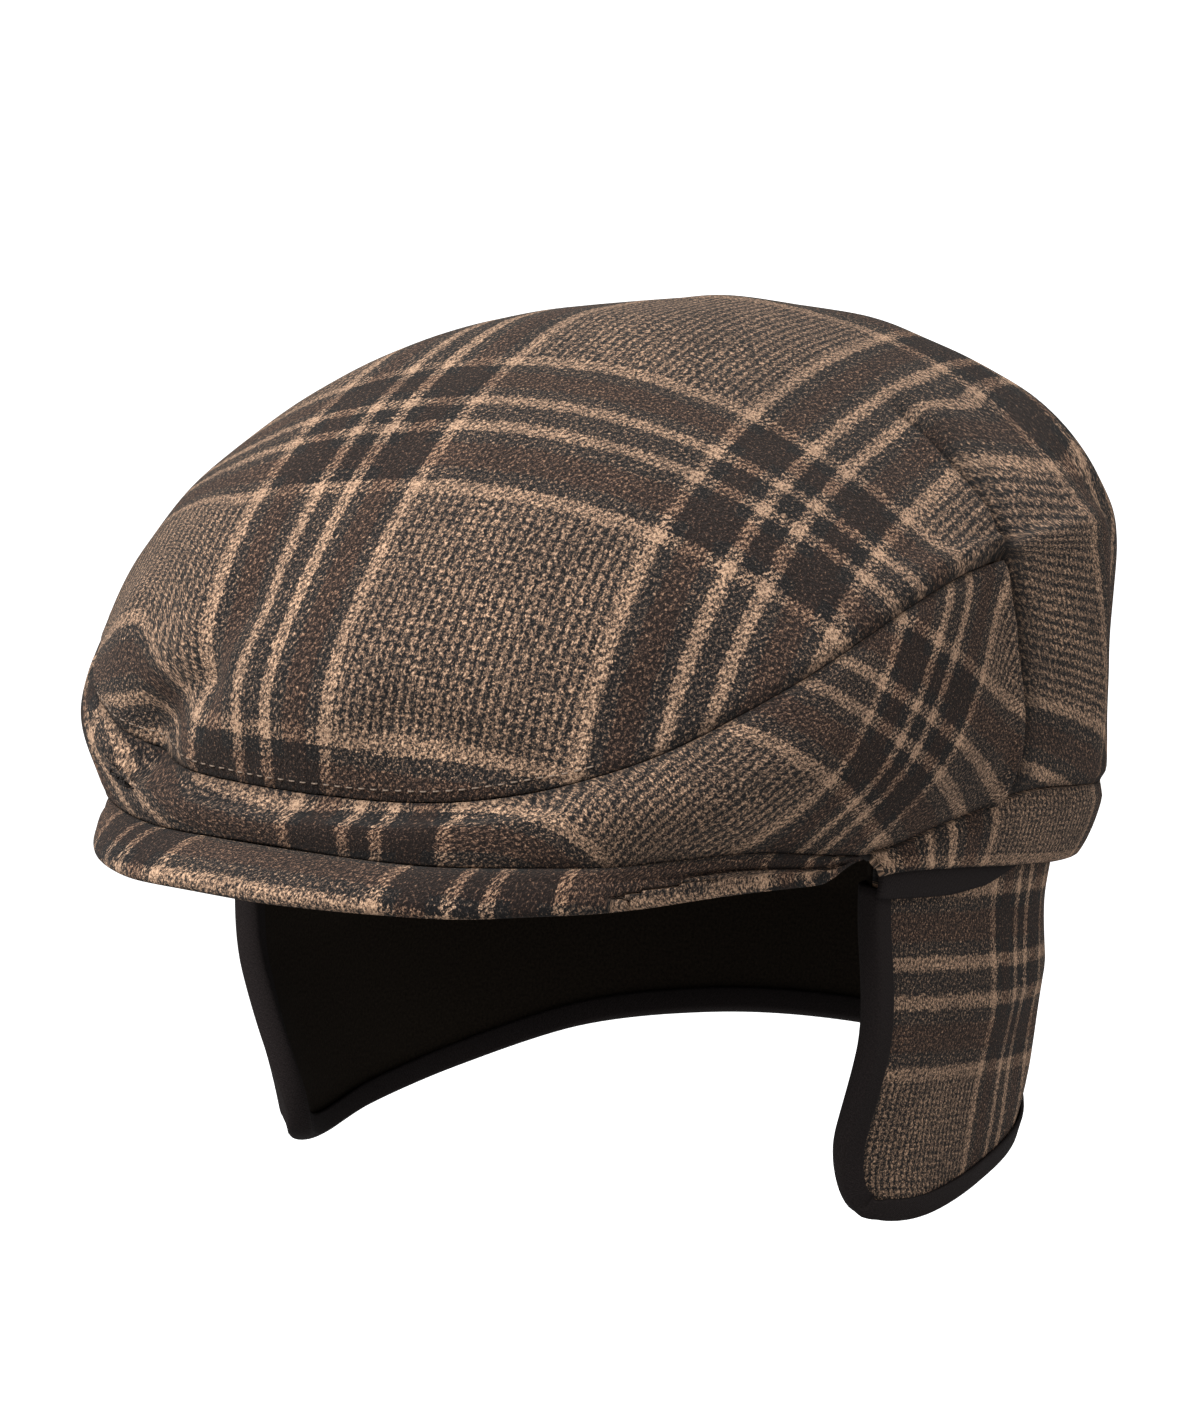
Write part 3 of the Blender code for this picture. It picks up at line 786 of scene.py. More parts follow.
def strip_cloth(points, round_distance):
    """Flat cloth coordinates of the side panel, which turns onto the bias at the sides."""
    _, y, z = points.T
    distance = np.abs(round_distance)
    to_side = smooth_step((distance - np.where(round_distance < 0, 78, 42)) / 52)
    left = np.interp(distance, *np.array(LEFT_STRIP).T)
    right = np.interp(distance, *np.array(RIGHT_STRIP).T)
    lean = to_side * 0.75 * (z - 15)
    across = np.where(round_distance < 0, right + lean, left - lean)
    side_rows = (29.1 - (0.919 * z + 0.395 * y)) * ROW_SCALE
    sliding = np.where(round_distance < 0, 0.45 * np.maximum(distance - 22, 0), 0.0)
    front_rows = 72.0 + (4.0 - z) + 0.12 * distance + sliding
    return across, side_rows * to_side + front_rows * (1 - to_side)


def side_panel():
    """Puffed cloth strip round the front and both sides."""
    half = spaced(0, REAR_SEAM - REAR_HALF_GAP, 165, (), SEAM_STEPS)
    shares = np.concatenate([-half[:0:-1], half])
    near = np.array((0.0, 0.6, 1.3, 2.2, 3.2))
    middle = np.linspace(0, 1, 28)[1:-1]
    grid = []
    for share in shares:
        section = profile(abs(share), -1 if share < 0 else 1)
        low = level_after(section, LEVEL_EDGE, -CREASE_DROP)
        high = level_after(section, LEVEL_SEAM, -SEAM_HALF_GAP)
        first = level_after(section, low, near[-1])
        last = level_after(section, high, -near[-1])
        levels = np.concatenate([low + (first - low) * near / near[-1],
                                 first + (last - first) * middle,
                                 high - (high - last) * near[::-1] / near[-1]])
        grid.append(crown_point(section, levels))
    grid = np.swapaxes(np.array(grid), 0, 1)
    rows, columns = grid.shape[:2]
    points = grid.reshape(-1, 3)
    from_seam, from_rear, from_band = distances = seam_distances(points)
    from_crease = distance_to_curve(points, line_between(LEVEL_EDGE, 0, REAR_SEAM))
    lift = panel_lift(points, *distances) + puckers(points, np.minimum(from_seam, from_rear))
    lift -= np.maximum(roll(from_crease, *CREASE_ROLL), roll(from_band, *BAND_SEAM_ROLL))
    lift += roll(from_rear - REAR_RIDGE_FROM_SEAM, REAR_RIDGE, REAR_RIDGE_REACH)
    # Painted shade beside the front seam, rear seam and crease
    painted_shade = roll(from_seam, *SEAM_PAINTED_SHADE) + roll(from_rear, *REAR_PAINTED_SHADE_AHEAD)
    painted_shade += roll(from_crease, *CREASE_PAINTED_SHADE)
    numbers = np.arange(rows * columns).reshape(rows, columns)
    edge = np.concatenate([numbers[0], numbers[1:, -1], numbers[-1, -2::-1], numbers[-2:0:-1, 0]])
    across, along = strip_cloth(points, np.tile(shares * HALF_ROUND, rows))
    return sewn_cloth(
        "side_panel_cloth", points, grid_faces(rows, columns), lift, across, along, edge, INSIDE_CROWN,
        PANEL_CLOTH, hem_leaning(*distances), painted_shade=painted_shade, normals=crown_normals(points))[0]


def back_band():
    """Band round the sides and back, which runs out to nothing at the peak."""
    shares, sections = sections_round(np.linspace(BAND_START, 1, 150))
    heights = np.array([np.linalg.norm(section[LEVEL_EDGE] - section[LEVEL_RIM]) for section in sections])
    amounts = np.linspace(0, 1, 16)
    points = np.array([band_point(section, (1 - 0.3 / height) * amount)
                       for amount in amounts for section, height in zip(sections, heights)])
    from_top, from_rim = np.outer(1 - amounts, heights).ravel(), np.outer(amounts, heights).ravel()
    lift = 0.4 * lift_of_cloth(points) - roll(from_rim, 0.7, 1.3) - roll(from_top, *BAND_SEAM_ROLL)
    rows, columns = len(amounts), len(shares)
    across = (np.abs(shares) - 0.482) * HALF_ROUND * 0.93 + 20.5
    return sewn_cloth(
        "back_band_cloth", points, grid_faces(rows, columns), lift, np.tile(across, rows),
        2.0 - points[:, 2], np.arange((rows - 1) * columns, rows * columns), INSIDE_BAND, BAND_CLOTH,
        -roll(from_top, 1.0, HEM_LEAN_REACH), closed=False)[0]


def peak_section(share, side):
    """Closed outline of the peak at one place, and each point's distance from the crease."""
    x, y, _ = half_oval(OPENING_HALF_WIDTH, 0, -OPENING_HALF_LENGTH, OPENING_HALF_LENGTH,
                        RIM_SQUARENESS)
    inner = evenly(np.stack([x, y], axis=1), [np.interp(share, *RIM_MATCH)])[0]
    crease = evenly(CURVES[LEVEL_EDGE], [share])[0]
    fade = 1 - (share / PEAK_END) ** 4
    forward = PEAK_REACH * np.cos(share / PEAK_END * np.pi / 2) ** 4 + 0.4 * fade + 0.6
    out = crease[:2] - inner
    out = out / max(np.linalg.norm(out), 0.001)
    ahead = unit(np.array([0.35 * out[0], min(out[1], -0.25)]))
    edge = crease[:2] + ahead * forward
    whole = smooth_step((PEAK_END - share) / PEAK_TAPER)
    drop = PEAK_DROP * (0.2 * whole + 0.8 * fade)
    half = PEAK_THICKNESS / 2 * (0.7 + 0.3 * fade) * (0.3 + 0.7 * whole)
    middle_z = crease[2] - 0.5 - half
    rows = np.array([
        (*inner, middle_z + 1.2 * fade),
        (*(inner + (crease[:2] - inner) * 0.5), middle_z + 1.0 * fade),
        (*crease[:2], middle_z),
        (*(crease[:2] + (edge - crease[:2]) * 0.6), middle_z - drop * 0.5),
        (*(edge - ahead * half * 0.6), middle_z - drop),
    ])
    places = np.concatenate([np.linspace(0, 2, 7)[:-1], np.linspace(2, 4, 13)])
    middle_line = spline(rows, places)
    slopes = np.gradient(middle_line, axis=0)
    flat = np.linalg.norm(slopes[:, :2], axis=1)
    up = unit(np.stack([-slopes[:, 2] * slopes[:, 0] / flat,
                        -slopes[:, 2] * slopes[:, 1] / flat, flat], axis=1))
    turns = np.radians(np.linspace(90, -90, 11)[1:-1])
    tip_out = unit(slopes[-1])
    tip = [middle_line[-1] + (tip_out * np.cos(turn) * 1.05 + up[-1] * np.sin(turn)) * half for turn in turns]
    outline = np.vstack([middle_line + up * half, tip, (middle_line - up * half)[::-1]])
    steps = path_length(outline)
    outline[:, 0] *= side
    if side < 0:
        outline[:, 0] += RIGHT_PEAK_TUCK * np.sin(share / PEAK_END * np.pi) ** 2
    return outline, steps - steps[6]


def peak():
    """Stiffened peak covered in plaid, with a softly rounded edge."""
    shares = np.linspace(-PEAK_END, PEAK_END, 221)
    sections = [peak_section(abs(share), np.sign(share) or 1) for share in shares]
    columns = len(sections[0][0])
    points = np.vstack([outline for outline, _ in sections])
    outward = np.concatenate([distances for _, distances in sections])
    points[:, 2] += np.array([0.35 * noise.noise(Vector(point / 22.0)) for point in points])
    item = mesh_object("peak_cloth", points, tube_faces(len(sections), columns))
    lay_cloth(item, np.repeat(shares * HALF_ROUND, columns) - 31.0, 24.0 + 0.62 * outward)
    return item


def flap_rows():
    """Rim point and lower point of each flap row, from left round to right."""
    rows = []
    for values in FLAP:
        row = dict(zip(FLAP_COLUMNS, values))
        rim_x, rim_y, _ = evenly(CURVES[LEVEL_RIM], [row["rim_share"]])[0]
        rows.append((rim_x, rim_y, row["low_x"], row["low_y"], row["low_z"]))
    left = np.array(rows)
    right = left[-2::-1] * np.array([-1, 1, -1, 1, 1])
    return np.vstack([left, right])


FLAP_ROWS = flap_rows()
FLAP_LAST = 2 * (len(FLAP) - 1)

# Soft folds of the hanging flap: place and share down of both ends, reach in
# places, and how far the cloth stands out
FLAP_FOLDS = (
    ((0.2, 0.93), (3.6, 0.66), 0.55, -2.0),
    ((0.6, 1.05), (4.0, 0.80), 0.55, 1.6),
    ((2.4, 0.10), (2.9, 0.60), 0.50, 0.9),
    ((5.6, 0.20), (5.2, 0.90), 0.60, -1.2),
    ((8.8, 0.20), (9.2, 0.90), 0.60, -1.2),
    ((12.6, 0.30), (11.0, 0.85), 0.60, 1.1),
)


def flap_wave(place, down):
    """How far the hanging cloth stands out at a place, in soft folds."""
    here = np.array([place, 2.2 * down])
    lift = 0.0
    for start, end, reach, height in FLAP_FOLDS:
        start = np.array([start[0], 2.2 * start[1]])
        end = np.array([end[0], 2.2 * end[1]])
        along = end - start
        share = min(max((here - start) @ along / (along @ along), 0), 1)
        lift += height * np.exp(-(np.linalg.norm(here - start - share * along) / reach) ** 2)
    return lift * smooth_step((down - 0.05) / 0.3)


def flap_point(place, down, inward):
    """Point of the flap at a place round it, a share of the way down, and a depth inward."""
    middle = len(FLAP) - 1
    wave = flap_wave(place, down)
    from_front = middle - abs(place - middle)
    lowness = min(max((down - CORNER_START) / (1 - CORNER_START), 0), 1)
    corner = CORNER_CUT * (1 - np.sqrt(1 - lowness ** 2)) * max(0, 1 - from_front / CORNER_FADE)
    place += corner if place < middle else -corner
    front_share = abs(place - middle) / middle
    tucked = min(max((0.6 - down) / 0.5, 0), 1)
    nape_tuck = NAPE_TUCK * (1 - front_share ** 2) * (1 - down)
    inward += max(FLAP_TUCK * tucked ** 2 * (3 - 2 * tucked), nape_tuck)
    row = spline(FLAP_ROWS, place)
    along = spline(FLAP_ROWS, place + 0.01) - spline(FLAP_ROWS, place - 0.01)
    top = np.array([row[0], row[1], 0.0])
    low = row[2:5] + np.array([0, 0, LEFT_LIFT * row[2] / 70])
    point = top + (low - top) * down
    if place < middle:
        point[1] += LEFT_SET_BACK * front_share ** 3 * (1 - down)
    else:
        point[:2] += np.array(RIGHT_TUCK) * front_share ** 3 * down
    along = np.array([along[0], along[1], 0.0]) * (1 - down) + along[2:5] * down
    outward = np.cross(low - top, along)
    outward[2] = 0
    outward = unit(outward)
    if outward @ np.array([point[0], point[1], 0]) < 0:
        outward = -outward
    belly = FLAP_BELLY + FLAP_FRONT_BELLY * front_share ** 2
    belly *= np.sin(0.75 * np.pi * min(max(down, 0), 1))
    return point + outward * (belly + wave - inward)


def flap_layer(name, top_down, inward, thickness, edge_inset):
    """One cloth layer of the flap, held back from the free edge by the inset."""
    inset_place = edge_inset / 17.0
    places = np.linspace(inset_place, FLAP_LAST - inset_place, 190)
    downs = np.linspace(0, 1, 34)
    depths = [np.linalg.norm(flap_point(place, 1, 0) - flap_point(place, 0, 0)) for place in places]
    points = []
    for amount in downs:
        for place, depth in zip(places, depths):
            low = 1 - edge_inset / depth
            points.append(flap_point(place, top_down + (low - top_down) * amount, inward))
    points = np.array(points)
    item = mesh_object(name, points, grid_faces(len(downs), len(places)))
    face_outward(item, INSIDE_FLAP)
    around = path_length(points[len(places) * 12:len(places) * 13])
    lay_cloth(item, np.tile(around - FLAP_GROUP_START, len(downs)), (-5.0 - points[:, 2]) * ROW_SCALE)
    thicken(item, thickness)
    return item


def flap_edge_path():
    """Places along the free edge, up one front edge, round the bottom and up the other."""
    turn = np.sin(np.radians(np.linspace(0, 90, 15)))
    downs = list(np.linspace(0.06, CORNER_START, 26))[:-1]
    downs += list(CORNER_START + (1 - CORNER_START) * turn)
    path = [(0.0, down) for down in downs]
    path += [(place, 1.0) for place in np.linspace(0.12, FLAP_LAST - 0.12, 150)]
    path += [(float(FLAP_LAST), down) for down in downs[::-1]]
    return path


def flap_frame(place, down, depth):
    """Middle of the flap's thickness at a place, and the true outward normal there."""
    step = 0.05
    here = flap_point(place, down, depth)
    before = flap_point(max(place - step, 0), down, depth)
    after = flap_point(min(place + step, FLAP_LAST), down, depth)
    above = flap_point(place, down - step, depth)
    normal = unit(np.cross(after - before, here - above))
    if normal @ np.array([here[0], here[1] - 20, 0]) < 0:
        normal = -normal
    return here, normal


def tape_outline():
    """Section of the folded tape: distance across the flap, and distance in from its edge."""
    inside = FLAP_STACK / 2 + TAPE_GAP
    outside = inside + TAPE
    turns = np.radians(np.linspace(0, 180, 13))
    outer = [(outside * np.cos(turn), -(TAPE + 0.6) * np.sin(turn)) for turn in turns]
    return np.array([(outside * 0.93, TAPE_DEPTH), (outside, TAPE_DEPTH - 0.5)] + outer
                    + [(-outside, TAPE_DEPTH - 0.5), (-outside * 0.93, TAPE_DEPTH),
                       (-inside, TAPE_DEPTH), (-inside, -0.1), (inside, -0.1), (inside, TAPE_DEPTH)])


def flap_binding():
    """Tape folded round the free edge of both flap layers."""
    path = flap_edge_path()
    frames = [flap_frame(place, down, FLAP_STACK / 2) for place, down in path]
    centres = np.array([centre for centre, _ in frames])
    outline = tape_outline()
    last = len(centres) - 1
    points = []
    inward_before = np.array([0, 1, 0])
    for index, (centre, normal) in enumerate(frames):
        along = centres[min(index + 1, last)] - centres[max(index - 1, 0)]
        inward = unit(np.cross(normal, along))
        if inward @ inward_before < 0:
            inward = -inward
        inward_before = inward
        points += [centre + normal * across + inward * inside for across, inside in outline]
    item = mesh_object("flap_binding_tape", points, tube_faces(len(path), len(outline)))
    lay_cloth(item, np.tile(path_length(outline), len(path)), np.repeat(path_length(centres), len(outline)))
    return item


def inner_strip():
    """Black strip between the band and the flap, all round the sides and back."""
    half = np.linspace(STRIP_START, 1, 110)
    shares = np.concatenate([half, -half[-2::-1]])
    rim = CURVES[LEVEL_RIM]
    marks = np.array(STRIP_LOWER_EDGE)
    rows = 12
    points = []
    for amount in np.linspace(0, 1, rows):
        for share in shares:
            place = evenly(rim, [abs(share)])[0]
            ahead = evenly(rim, [min(abs(share) + 0.003, 1)])[0]
            behind = evenly(rim, [abs(share) - 0.003])[0]
            along = ahead - behind
            outward = unit(np.array([along[1], -along[0], 0]))
            low = np.interp(abs(share), marks[:, 0], marks[:, 1])
            puff = 0.5 * np.sin(np.pi * amount) * smooth_step((0.6 - abs(share)) / 0.1)
            point = place - outward * (STRIP_INSET - puff)
            top = STRIP_TOP * min(max((abs(share) - 0.40) * 8, 0), 1) - 0.3
            point[2] = low + (top - low) * amount
            if share < 0:
                point[0] = -point[0]
            points.append(point)
    points = np.array(points)
    item = mesh_object("inner_strip_cloth", points, grid_faces(rows, len(shares)))
    face_outward(item, INSIDE_STRIP)
    lay_cloth(item, np.tile(shares * HALF_ROUND, rows), points[:, 2])
    thicken(item, BLACK_CLOTH)
    return item


class Nodes:
    """Short ways to add and join a material's nodes."""

    def __init__(self, name):
        self.material = bpy.data.materials.new(name)
        self.material.use_nodes = True
        self.tree = self.material.node_tree
        self.shader = self.tree.nodes["Principled BSDF"]

    def add(self, kind, inputs=None, **settings):
        """Adds a node, with its settings and its inputs by name or number."""
        node = self.tree.nodes.new(kind)
        for key, value in settings.items():
            setattr(node, key, value)
        for key, value in (inputs or {}).items():
            self.feed(node.inputs[key], value)
        return node

    def feed(self, socket, value):
        """Gives a socket a value, or the output that feeds it."""
        if isinstance(value, bpy.types.NodeSocket):
            self.tree.links.new(value, socket)
        else:
            socket.default_value = value

    def vector(self, operation, *values, **inputs):
        """Result of a vector math node."""
        inputs = {**dict(enumerate(values)), **inputs}
        return self.add("ShaderNodeVectorMath", inputs, operation=operation).outputs[0]

    def cloth(self):
        """Place on the piece's flat cloth, in millimetres."""
        uv = self.add("ShaderNodeUVMap", uv_map="cloth").outputs["UV"]
        return self.vector("SCALE", uv, Scale=1000.0)

    def noise(self, place, scale, detail, roughness=0.5, output="Fac"):
        """Noise texture."""
        inputs = {"Vector": place, "Scale": scale, "Detail": detail, "Roughness": roughness}
        return self.add("ShaderNodeTexNoise", inputs).outputs[output]

    def surface(self, colour, height, strength, distance):
        """Gives the shader a colour and a bump."""
        bump = self.add("ShaderNodeBump", {"Height": height, "Strength": strength, "Distance": distance})
        self.feed(self.shader.inputs["Base Color"], colour)
        self.feed(self.shader.inputs["Normal"], bump.outputs[0])

    def math(self, operation, *values):
        """Result of a math node."""
        return self.add("ShaderNodeMath", dict(enumerate(values)), operation=operation).outputs[0]

    def mix(self, factor, first, second, blend="MIX"):
        """Mixed colour."""
        node = self.add("ShaderNodeMix", {"Factor": factor}, data_type="RGBA", blend_type=blend)
        self.feed(node.inputs[6], first)
        self.feed(node.inputs[7], second)
        return node.outputs[2]

    def ramp(self, factor, stops, interpolation="LINEAR"):
        """Colour ramp from (position, colour) stops."""
        node = self.add("ShaderNodeValToRGB", {"Fac": factor})
        node.color_ramp.interpolation = interpolation
        elements = node.color_ramp.elements
        while len(elements) < len(stops):
            elements.new(0.5)
        for element, (position, _) in zip(elements, stops):
            element.position = position
        for element, (_, colour) in zip(elements, stops):
            element.color = colour
        return node.outputs["Color"]


# Flags of a stripe: tan, ground and brown centre
TAN = (1.0, 0.0, 0.0, 1.0)
GROUND = (0.0, 1.0, 0.0, 1.0)
CENTRE = (0.0, 0.0, 1.0, 1.0)
DARK = (0.0, 0.0, 0.0, 1.0)

# Colour of the brushed cloth from its darkest fibres to its lightest
FIBRES = ((0.02, (0.0085, 0.0080, 0.0084, 1)), (0.24, (0.027, 0.0238, 0.0228, 1)),
          (0.46, (0.108, 0.073, 0.052, 1)), (0.70, (0.305, 0.190, 0.124, 1)),
          (1.00, (0.600, 0.395, 0.260, 1)))
BROWN_FIBRES = ((0.02, (0.016, 0.0100, 0.0083, 1)), (0.24, (0.044, 0.0255, 0.0185, 1)),
                (0.46, (0.112, 0.060, 0.040, 1)), (0.70, (0.225, 0.122, 0.078, 1)),
                (1.00, (0.420, 0.260, 0.160, 1)))
WORN_PATCHES = ((0.35, (0.86, 0.86, 0.87, 1)), (0.65, (1.12, 1.11, 1.1, 1)))
# Near-black colour of the painted shade in seam grooves, behind the fold and on hems
PAINTED_SHADE_COLOUR = (0.006, 0.005, 0.005, 1)


def stripe_stops(repeat):
    """Stripes of one direction of the plaid, from 2 mm before its first tan line."""
    bands = [(-2.0, GROUND)]
    for line, wide_band_follows in zip(TAN_LINES, (True, False, True, None)):
        bands.append((line - TAN_HALF_WIDTH, TAN))
        bands.append((line + TAN_HALF_WIDTH, GROUND if wide_band_follows is None else DARK))
        if wide_band_follows:
            middle = line + (TAN_LINES[1] - TAN_LINES[0]) / 2
            bands.append((middle - BROWN_HALF_WIDTH, CENTRE))
            bands.append((middle + BROWN_HALF_WIDTH, DARK))
    return [((start + 2.0) / repeat, flags) for start, flags in bands]


def yarns(nodes, place, repeat, pitch):
    """Lightness, ground share, brownness and fine wave of one set of yarns."""
    share = nodes.math("FRACT", nodes.math("DIVIDE", nodes.math("ADD", place, 2.0), repeat))
    flags = nodes.add("ShaderNodeSeparateColor", {0: nodes.ramp(share, stripe_stops(repeat), "CONSTANT")})
    tan, ground, brown = flags.outputs
    wave = nodes.math("SINE", nodes.math("MULTIPLY", place, 2 * np.pi / pitch))
    lightness = nodes.math("MULTIPLY_ADD", ground, 0.36, nodes.math("MULTIPLY_ADD", tan, 0.80, -0.06))
    return lightness, ground, brown, wave


def plaid(name):
    """Brushed plaid wool, woven from two sets of yarns on the piece's own cloth coordinates."""
    nodes = Nodes(name)
    flat = nodes.cloth()
    rough = nodes.noise(flat, 1.0, 3.0, 0.75, "Color")
    pushed = nodes.vector("SCALE", nodes.vector("SUBTRACT", rough, (0.5, 0.5, 0.5)), Scale=3.4)
    hazy = nodes.add("ShaderNodeSeparateXYZ", {0: nodes.vector("ADD", flat, pushed)})
    across, along = hazy.outputs[0], hazy.outputs[1]
    long_light, long_ground, long_brown, long_wave = yarns(nodes, across, LONG_REPEAT, LONG_PITCH)
    cross_light, cross_ground, cross_brown, cross_wave = yarns(nodes, along, CROSS_REPEAT, CROSS_PITCH)
    slant = nodes.math("MULTIPLY", nodes.math("ADD", across, along), 2 * np.pi / SLANT_PITCH)
    over = nodes.math("MULTIPLY_ADD", nodes.math("SINE", slant), 0.42, 0.46)
    crossed = nodes.math("MULTIPLY_ADD", over, nodes.math("SUBTRACT", cross_light, long_light), long_light)
    check = nodes.math("MULTIPLY_ADD", cross_wave, 0.55, long_wave)
    ground = nodes.math("MULTIPLY_ADD", nodes.math("MULTIPLY", long_ground, cross_ground), 0.15, 0.05)
    woven = nodes.math("MULTIPLY_ADD", check, ground, crossed)
    fibres = nodes.noise(flat, 1.7, 3.0, 0.8)
    fuzz = nodes.math("MULTIPLY", nodes.math("SUBTRACT", fibres, 0.5), 2.9)
    flecks = {0: nodes.noise(flat, 2.6, 1.0), 1: 0.54, 2: 0.70, 3: 0.0, 4: 0.44}
    fleck = nodes.add("ShaderNodeMapRange", flecks).outputs[0]
    value = nodes.math("ADD", nodes.math("ADD", woven, fuzz), fleck)
    brown = nodes.math("MULTIPLY", nodes.math("MAXIMUM", long_brown, cross_brown), 0.65)
    colour = nodes.mix(brown, nodes.ramp(value, FIBRES), nodes.ramp(value, BROWN_FIBRES))
    worn = nodes.ramp(nodes.noise(flat, 0.06, 2.0), WORN_PATCHES)
    colour = nodes.mix(1.0, colour, worn, "MULTIPLY")
    # Painted shade: the colour is mixed towards near-black by the per-point painted shade attribute
    painted_shade = nodes.add("ShaderNodeAttribute", attribute_name="painted_shade").outputs["Fac"]
    colour = nodes.mix(painted_shade, colour, PAINTED_SHADE_COLOUR)
    nodes.surface(colour, nodes.math("MULTIPLY_ADD", over, 0.3, fibres), 0.8, 0.0008)
    nodes.shader.inputs["Roughness"].default_value = 0.95
    nodes.shader.inputs["Specular IOR Level"].default_value = 0.06
    nodes.shader.inputs["Sheen Weight"].default_value = 0.06
    nodes.shader.inputs["Sheen Roughness"].default_value = 0.6
    nodes.shader.inputs["Sheen Tint"].default_value = (0.72, 0.68, 0.63, 1)
    return nodes.material


def black_cloth(name, light, fine_scale, twill, roughness):
    """Plain cloth, mostly black, with a fine nap or twill."""
    nodes = Nodes(name)
    flat = nodes.cloth()
    nap = nodes.noise(flat, fine_scale, 4.0, 0.7)
    dark, bright = (tuple(share * part for part in light) + (1,) for share in (0.45, 1.5))
    split = nodes.add("ShaderNodeSeparateXYZ", {0: flat})
    slant = nodes.math("ADD", split.outputs[0], split.outputs[1])
    rib = nodes.math("MULTIPLY", nodes.math("SINE", nodes.math("MULTIPLY", slant, 9.0)), twill)
    nodes.surface(nodes.ramp(nap, [(0.3, dark), (0.7, bright)]), nodes.math("ADD", nap, rib), 0.5, 0.0003)
    nodes.shader.inputs["Roughness"].default_value = roughness
    nodes.shader.inputs["Specular IOR Level"].default_value = 0.07
    return nodes.material


def dress(item, outer, inner=None):
    """Gives a piece its cloth outside, and the cloth of its inner side."""
    item.data.materials.append(outer)
    item.data.materials.append(inner or outer)


def studio_sweep():
    """Plain pale floor that turns up into a backdrop behind the cap."""
    depth, height, bend = 4.0, 4.0, 1.2
    floor_z = -0.30
    profile_points = [(-3.0, floor_z)]
    for angle in np.radians(np.linspace(0, 90, 16)):
        profile_points.append((depth + bend * np.sin(angle), floor_z + bend * (1 - np.cos(angle))))
    profile_points.append((depth + bend, floor_z + height))
    points, faces = [], []
    turn = np.radians(CAMERA_AZIMUTH)
    behind = np.array([-np.sin(turn), np.cos(turn)])
    sideways = np.array([np.cos(turn), np.sin(turn)])
    for reach, z in profile_points:
        for side in (-5.0, 5.0):
            x, y = behind * reach + sideways * side
            points.append((x, y, z))
    for row in range(len(profile_points) - 1):
        faces.append((2 * row, 2 * row + 1, 2 * row + 3, 2 * row + 2))
    mesh = bpy.data.meshes.new("studio_sweep")
    mesh.from_pydata(points, [], faces)
    mesh.shade_smooth()
    item = add_object("studio_sweep", mesh)
    material = bpy.data.materials.new("pale_paper")
    material.use_nodes = True
    shader = material.node_tree.nodes["Principled BSDF"]
    shader.inputs["Base Color"].default_value = (0.93, 0.93, 0.93, 1)
    shader.inputs["Roughness"].default_value = 1.0
    shader.inputs["Specular IOR Level"].default_value = 0.0
    shader.inputs["Emission Color"].default_value = (1, 1, 1, 1)
    shader.inputs["Emission Strength"].default_value = 0.8
    mesh.materials.append(material)
    item.visible_diffuse = False
    item.visible_glossy = False


def sight_line(azimuth, elevation):
    """Direction from the cap towards an azimuth and elevation in degrees."""
    a, e = np.radians((azimuth, elevation))
    return np.array([np.sin(a) * np.cos(e), -np.cos(a) * np.cos(e), np.sin(e)])


def area_light(name, azimuth, elevation, distance, size, power):
    """Soft square light that points at the cap."""
    light = bpy.data.lights.new(name, "AREA")
    light.size = size
    light.energy = power
    item = add_object(name, light)
    item.location = sight_line(azimuth, elevation) * distance
    item.rotation_euler = item.location.to_track_quat("Z", "Y").to_euler()


def studio_light():
    """White surroundings and two soft lights."""
    world = bpy.data.worlds.new("studio")
    world.use_nodes = True
    world.node_tree.nodes["Background"].inputs["Color"].default_value = (1, 1, 1, 1)
    world.node_tree.nodes["Background"].inputs["Strength"].default_value = 0.55
    bpy.context.scene.world = world
    area_light("key_light", CAMERA_AZIMUTH - 42, 30, 1.8, 1.0, 55)
    area_light("side_light", CAMERA_AZIMUTH + 66, 22, 2.0, 1.0, 10)


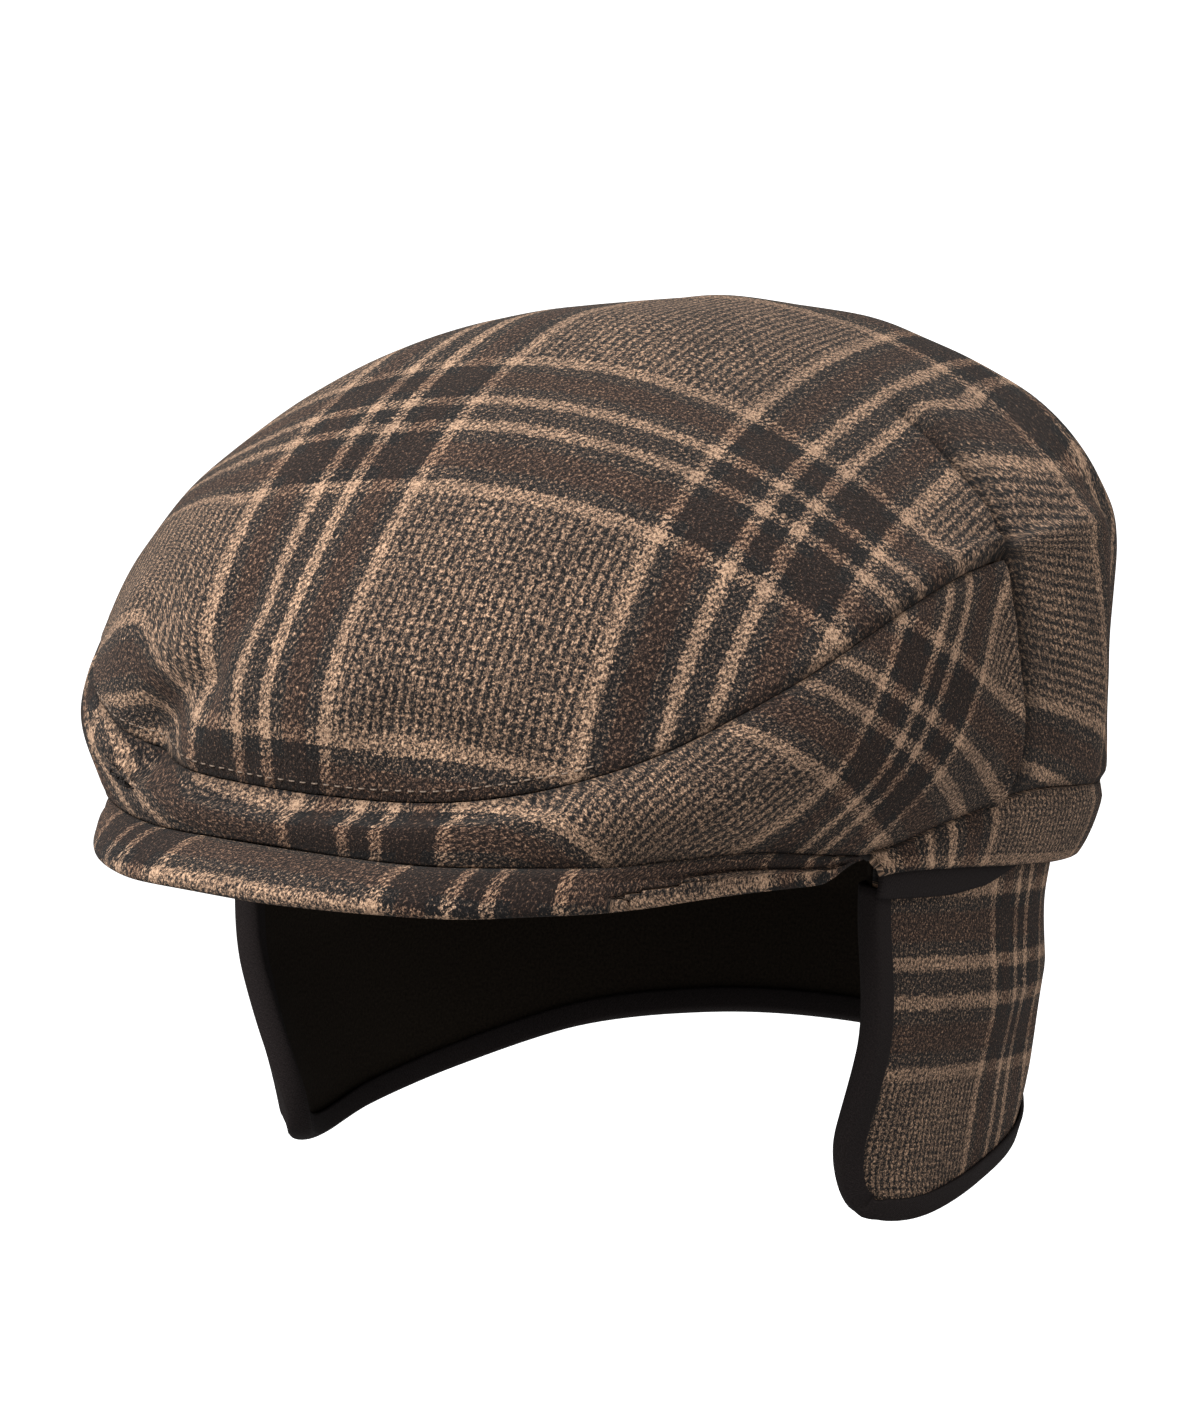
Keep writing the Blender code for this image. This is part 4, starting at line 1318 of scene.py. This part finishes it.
def photo_camera():
    """Camera that sees the cap as the photograph does."""
    back = sight_line(CAMERA_AZIMUTH, CAMERA_ELEVATION)
    azimuth, roll_angle = np.radians((CAMERA_AZIMUTH, CAMERA_ROLL))
    level_right = np.array([np.cos(azimuth), np.sin(azimuth), 0.0])
    level_up = np.cross(back, level_right)
    right = level_right * np.cos(roll_angle) + level_up * np.sin(roll_angle)
    up = -level_right * np.sin(roll_angle) + level_up * np.cos(roll_angle)
    place = right * AIM_RIGHT + up * AIM_UP + back * CAMERA_DISTANCE
    data = bpy.data.cameras.new("photo_camera")
    data.sensor_fit = "AUTO"
    data.sensor_width = 36.0
    data.lens = 36.0 * PIXELS_PER_MM * CAMERA_DISTANCE * 1000 / IMAGE_HEIGHT
    data.clip_start = 0.05
    data.clip_end = 50
    item = add_object("photo_camera", data)
    item.matrix_world = Matrix([[*right, 0], [*up, 0], [*back, 0], [*place, 1]]).transposed()
    bpy.context.scene.camera = item


crown_wool = plaid("crown_plaid_wool")
wool_back = black_cloth("plain_inside", (0.030, 0.026, 0.024), 2.0, 0.1, 0.95)
fleece = black_cloth("black_fleece", (0.0150, 0.0112, 0.0080), 1.6, 0.0, 0.95)
tape_cloth = black_cloth("black_tape", (0.0150, 0.0118, 0.0115), 2.4, 0.25, 0.85)
thread = black_cloth("pale_thread", (0.20, 0.150, 0.115), 3.0, 0.0, 0.7)

crown, stitch_path, stitch_normals = top_panel()
flap_inside = FLAP_WOOL + LAYER_GAP
PIECES = {
    "top_panel": (crown, crown_wool, wool_back, "crown_wool"),
    "side_panel": (side_panel(), crown_wool, wool_back, "side_wool"),
    "back_band": (back_band(), crown_wool, wool_back, "band_wool"),
    "peak": (peak(), crown_wool, None, "peak_wool"),
    "ear_flap": (flap_layer("ear_flap_cloth", -0.04, 0.0, FLAP_WOOL, 1.0),
                 crown_wool, wool_back, "flap_wool"),
    "flap_lining": (flap_layer("flap_lining_fleece", -0.1, flap_inside, BLACK_CLOTH, 1.8),
                    fleece, None, "lining_black"),
    "flap_binding": (flap_binding(), tape_cloth, None, "binding_black"),
    "inner_strip": (inner_strip(), tape_cloth, None, "strip_black"),
}
for node, (item, outer, inner, slot) in PIECES.items():
    dress(item, outer, inner)
    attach(item, "root")
    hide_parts(node)
stitches = topstitching(stitch_path, stitch_normals)
dress(stitches, thread)
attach(stitches, "root")

studio_sweep()
studio_light()
photo_camera()
bpy.context.scene.view_settings.view_transform = "Standard"
